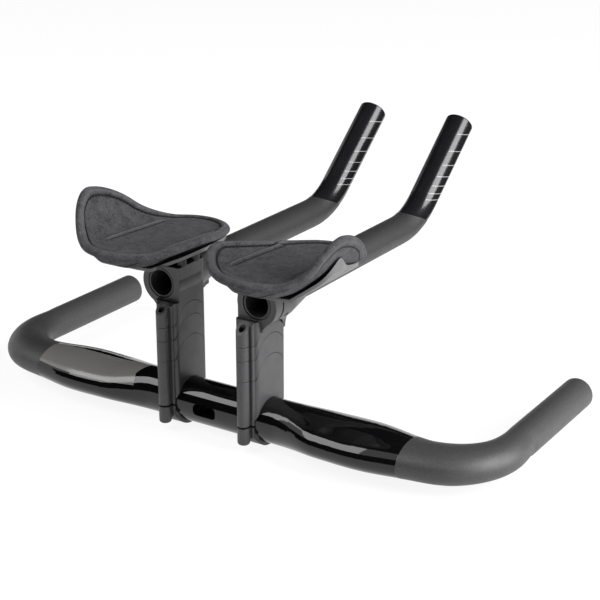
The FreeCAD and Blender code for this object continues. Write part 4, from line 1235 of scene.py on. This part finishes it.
class HANDLEBAR_OT_set_stage(bpy.types.Operator):
    """Set up the floor, the lights, the dark cards and the camera"""

    bl_idname = "handlebar.set_stage"
    bl_label = "Set Up Studio"

    def execute(self, context):
        scene = context.scene
        colours, studio = scene.handlebar_finish, scene.handlebar_studio
        scene.view_settings.view_transform = "Standard"
        scene.world = white_world(studio)
        self.lay_floor(colours, studio)
        self.hang_cards(colours, studio)
        self.place_lamps(studio)
        self.place_camera(scene, studio)
        return {"FINISHED"}

    def lay_floor(self, colours, studio):
        """A round floor just below the part, as rings of points."""
        turn = np.linspace(0, 2 * np.pi, FLOOR_TURNS, endpoint=False)
        rings = np.array([*FLOOR_RINGS, studio.floor_radius])[:, None]
        level = CAD_BOX[0][2] - studio.floor_gap
        floor = grid_object("studio_floor", rings * np.cos(turn), rings * np.sin(turn), level, closed=True)
        floor.data.materials.append(floor_finish(colours))

    def hang_cards(self, colours, studio):
        """Dark cards below and above the overhead light, and one on the right for reflections alone."""
        low = CAD_BOX[0][2] + studio.floor_gap
        rear = arc_sheet("rear_card", studio.card_radius, REAR_CARD_LOW, studio.strip_low, studio.card_reach)
        top = arc_sheet("top_card", studio.card_radius, studio.strip_high, TOP_CARD_END, studio.card_reach)
        side = rising_sheet("side_card", SIDE_CARD_MIDDLE, SIDE_CARD_RADII, SIDE_CARD_TURNS,
                            (low, low + SIDE_CARD_RISE))
        side.visible_diffuse = False
        black = flag_finish(colours)
        for card in (rear, top, side):
            card.data.materials.append(black)
            card.visible_camera = False
            card.visible_shadow = False

    def place_lamps(self, studio):
        """The overhead strip between the cards, and a soft light from the right."""
        radius = studio.card_radius
        turn = (studio.strip_low + studio.strip_high) / 2
        spread = 2 * radius * math.tan((studio.strip_high - studio.strip_low) / 2)
        place = (studio.strip_middle, -radius * math.cos(turn), radius * math.sin(turn))
        soft_lamp("overhead_strip", place, (studio.strip_middle, 0.0, 0.0), studio.strip_length, spread,
                  studio.strip_energy)
        soft_lamp("side_light", SIDE_PLACE, SIDE_AIM, SIDE_WIDTH, SIDE_HEIGHT, studio.side_energy)

    def place_camera(self, scene, studio):
        """The camera behind, right of and above the bar."""
        a, e = studio.azimuth, studio.elevation
        back = Vector((math.sin(a) * math.cos(e), -math.cos(a) * math.cos(e), math.sin(e)))
        right = Vector((math.cos(a), math.sin(a), 0.0))
        up = back.cross(right)
        lens = bpy.data.cameras.new("studio_camera")
        lens.lens = studio.lens
        lens.sensor_width = SENSOR_WIDTH
        camera = bpy.data.objects.new("studio_camera", lens)
        turned = Matrix((right, up, back)).transposed().to_4x4()
        turned.translation = right * studio.aim_right + up * studio.aim_up + back * studio.distance
        camera.matrix_world = turned
        scene.collection.objects.link(camera)
        scene.camera = camera


OPERATORS = (
    HANDLEBAR_OT_paint_bar,
    HANDLEBAR_OT_finish_pylons,
    HANDLEBAR_OT_paint_extensions,
    HANDLEBAR_OT_finish_shells,
    HANDLEBAR_OT_blacken_screws,
    HANDLEBAR_OT_make_pads,
    HANDLEBAR_OT_sew_pads,
    HANDLEBAR_OT_set_stage,
)


class HANDLEBAR_PT_panel(bpy.types.Panel):
    """Lists the steps of the handlebar"""

    bl_idname = "HANDLEBAR_PT_panel"
    bl_label = "Aero Handlebar"
    bl_space_type = "VIEW_3D"
    bl_region_type = "UI"
    bl_category = "Handlebar"

    def draw(self, context):
        for operator in OPERATORS:
            self.layout.operator(operator.bl_idname)


GROUPS = {"handlebar_pad": PadSizes, "handlebar_finish": FinishColours, "handlebar_studio": StudioSizes}


def register():
    for made in (*GROUPS.values(), *OPERATORS, HANDLEBAR_PT_panel):
        bpy.utils.register_class(made)
    for name, made in GROUPS.items():
        setattr(bpy.types.Scene, name, PointerProperty(type=made))


def unregister():
    for name in GROUPS:
        delattr(bpy.types.Scene, name)
    for made in reversed((*GROUPS.values(), *OPERATORS, HANDLEBAR_PT_panel)):
        bpy.utils.unregister_class(made)


def main():
    """Runs every step in order."""
    register()
    bpy.ops.handlebar.paint_bar()
    bpy.ops.handlebar.finish_pylons()
    bpy.ops.handlebar.paint_extensions()
    bpy.ops.handlebar.finish_shells()
    bpy.ops.handlebar.blacken_screws()
    bpy.ops.handlebar.make_pads()
    bpy.ops.handlebar.sew_pads()
    bpy.ops.handlebar.set_stage()


if __name__ == "__main__":
    main()
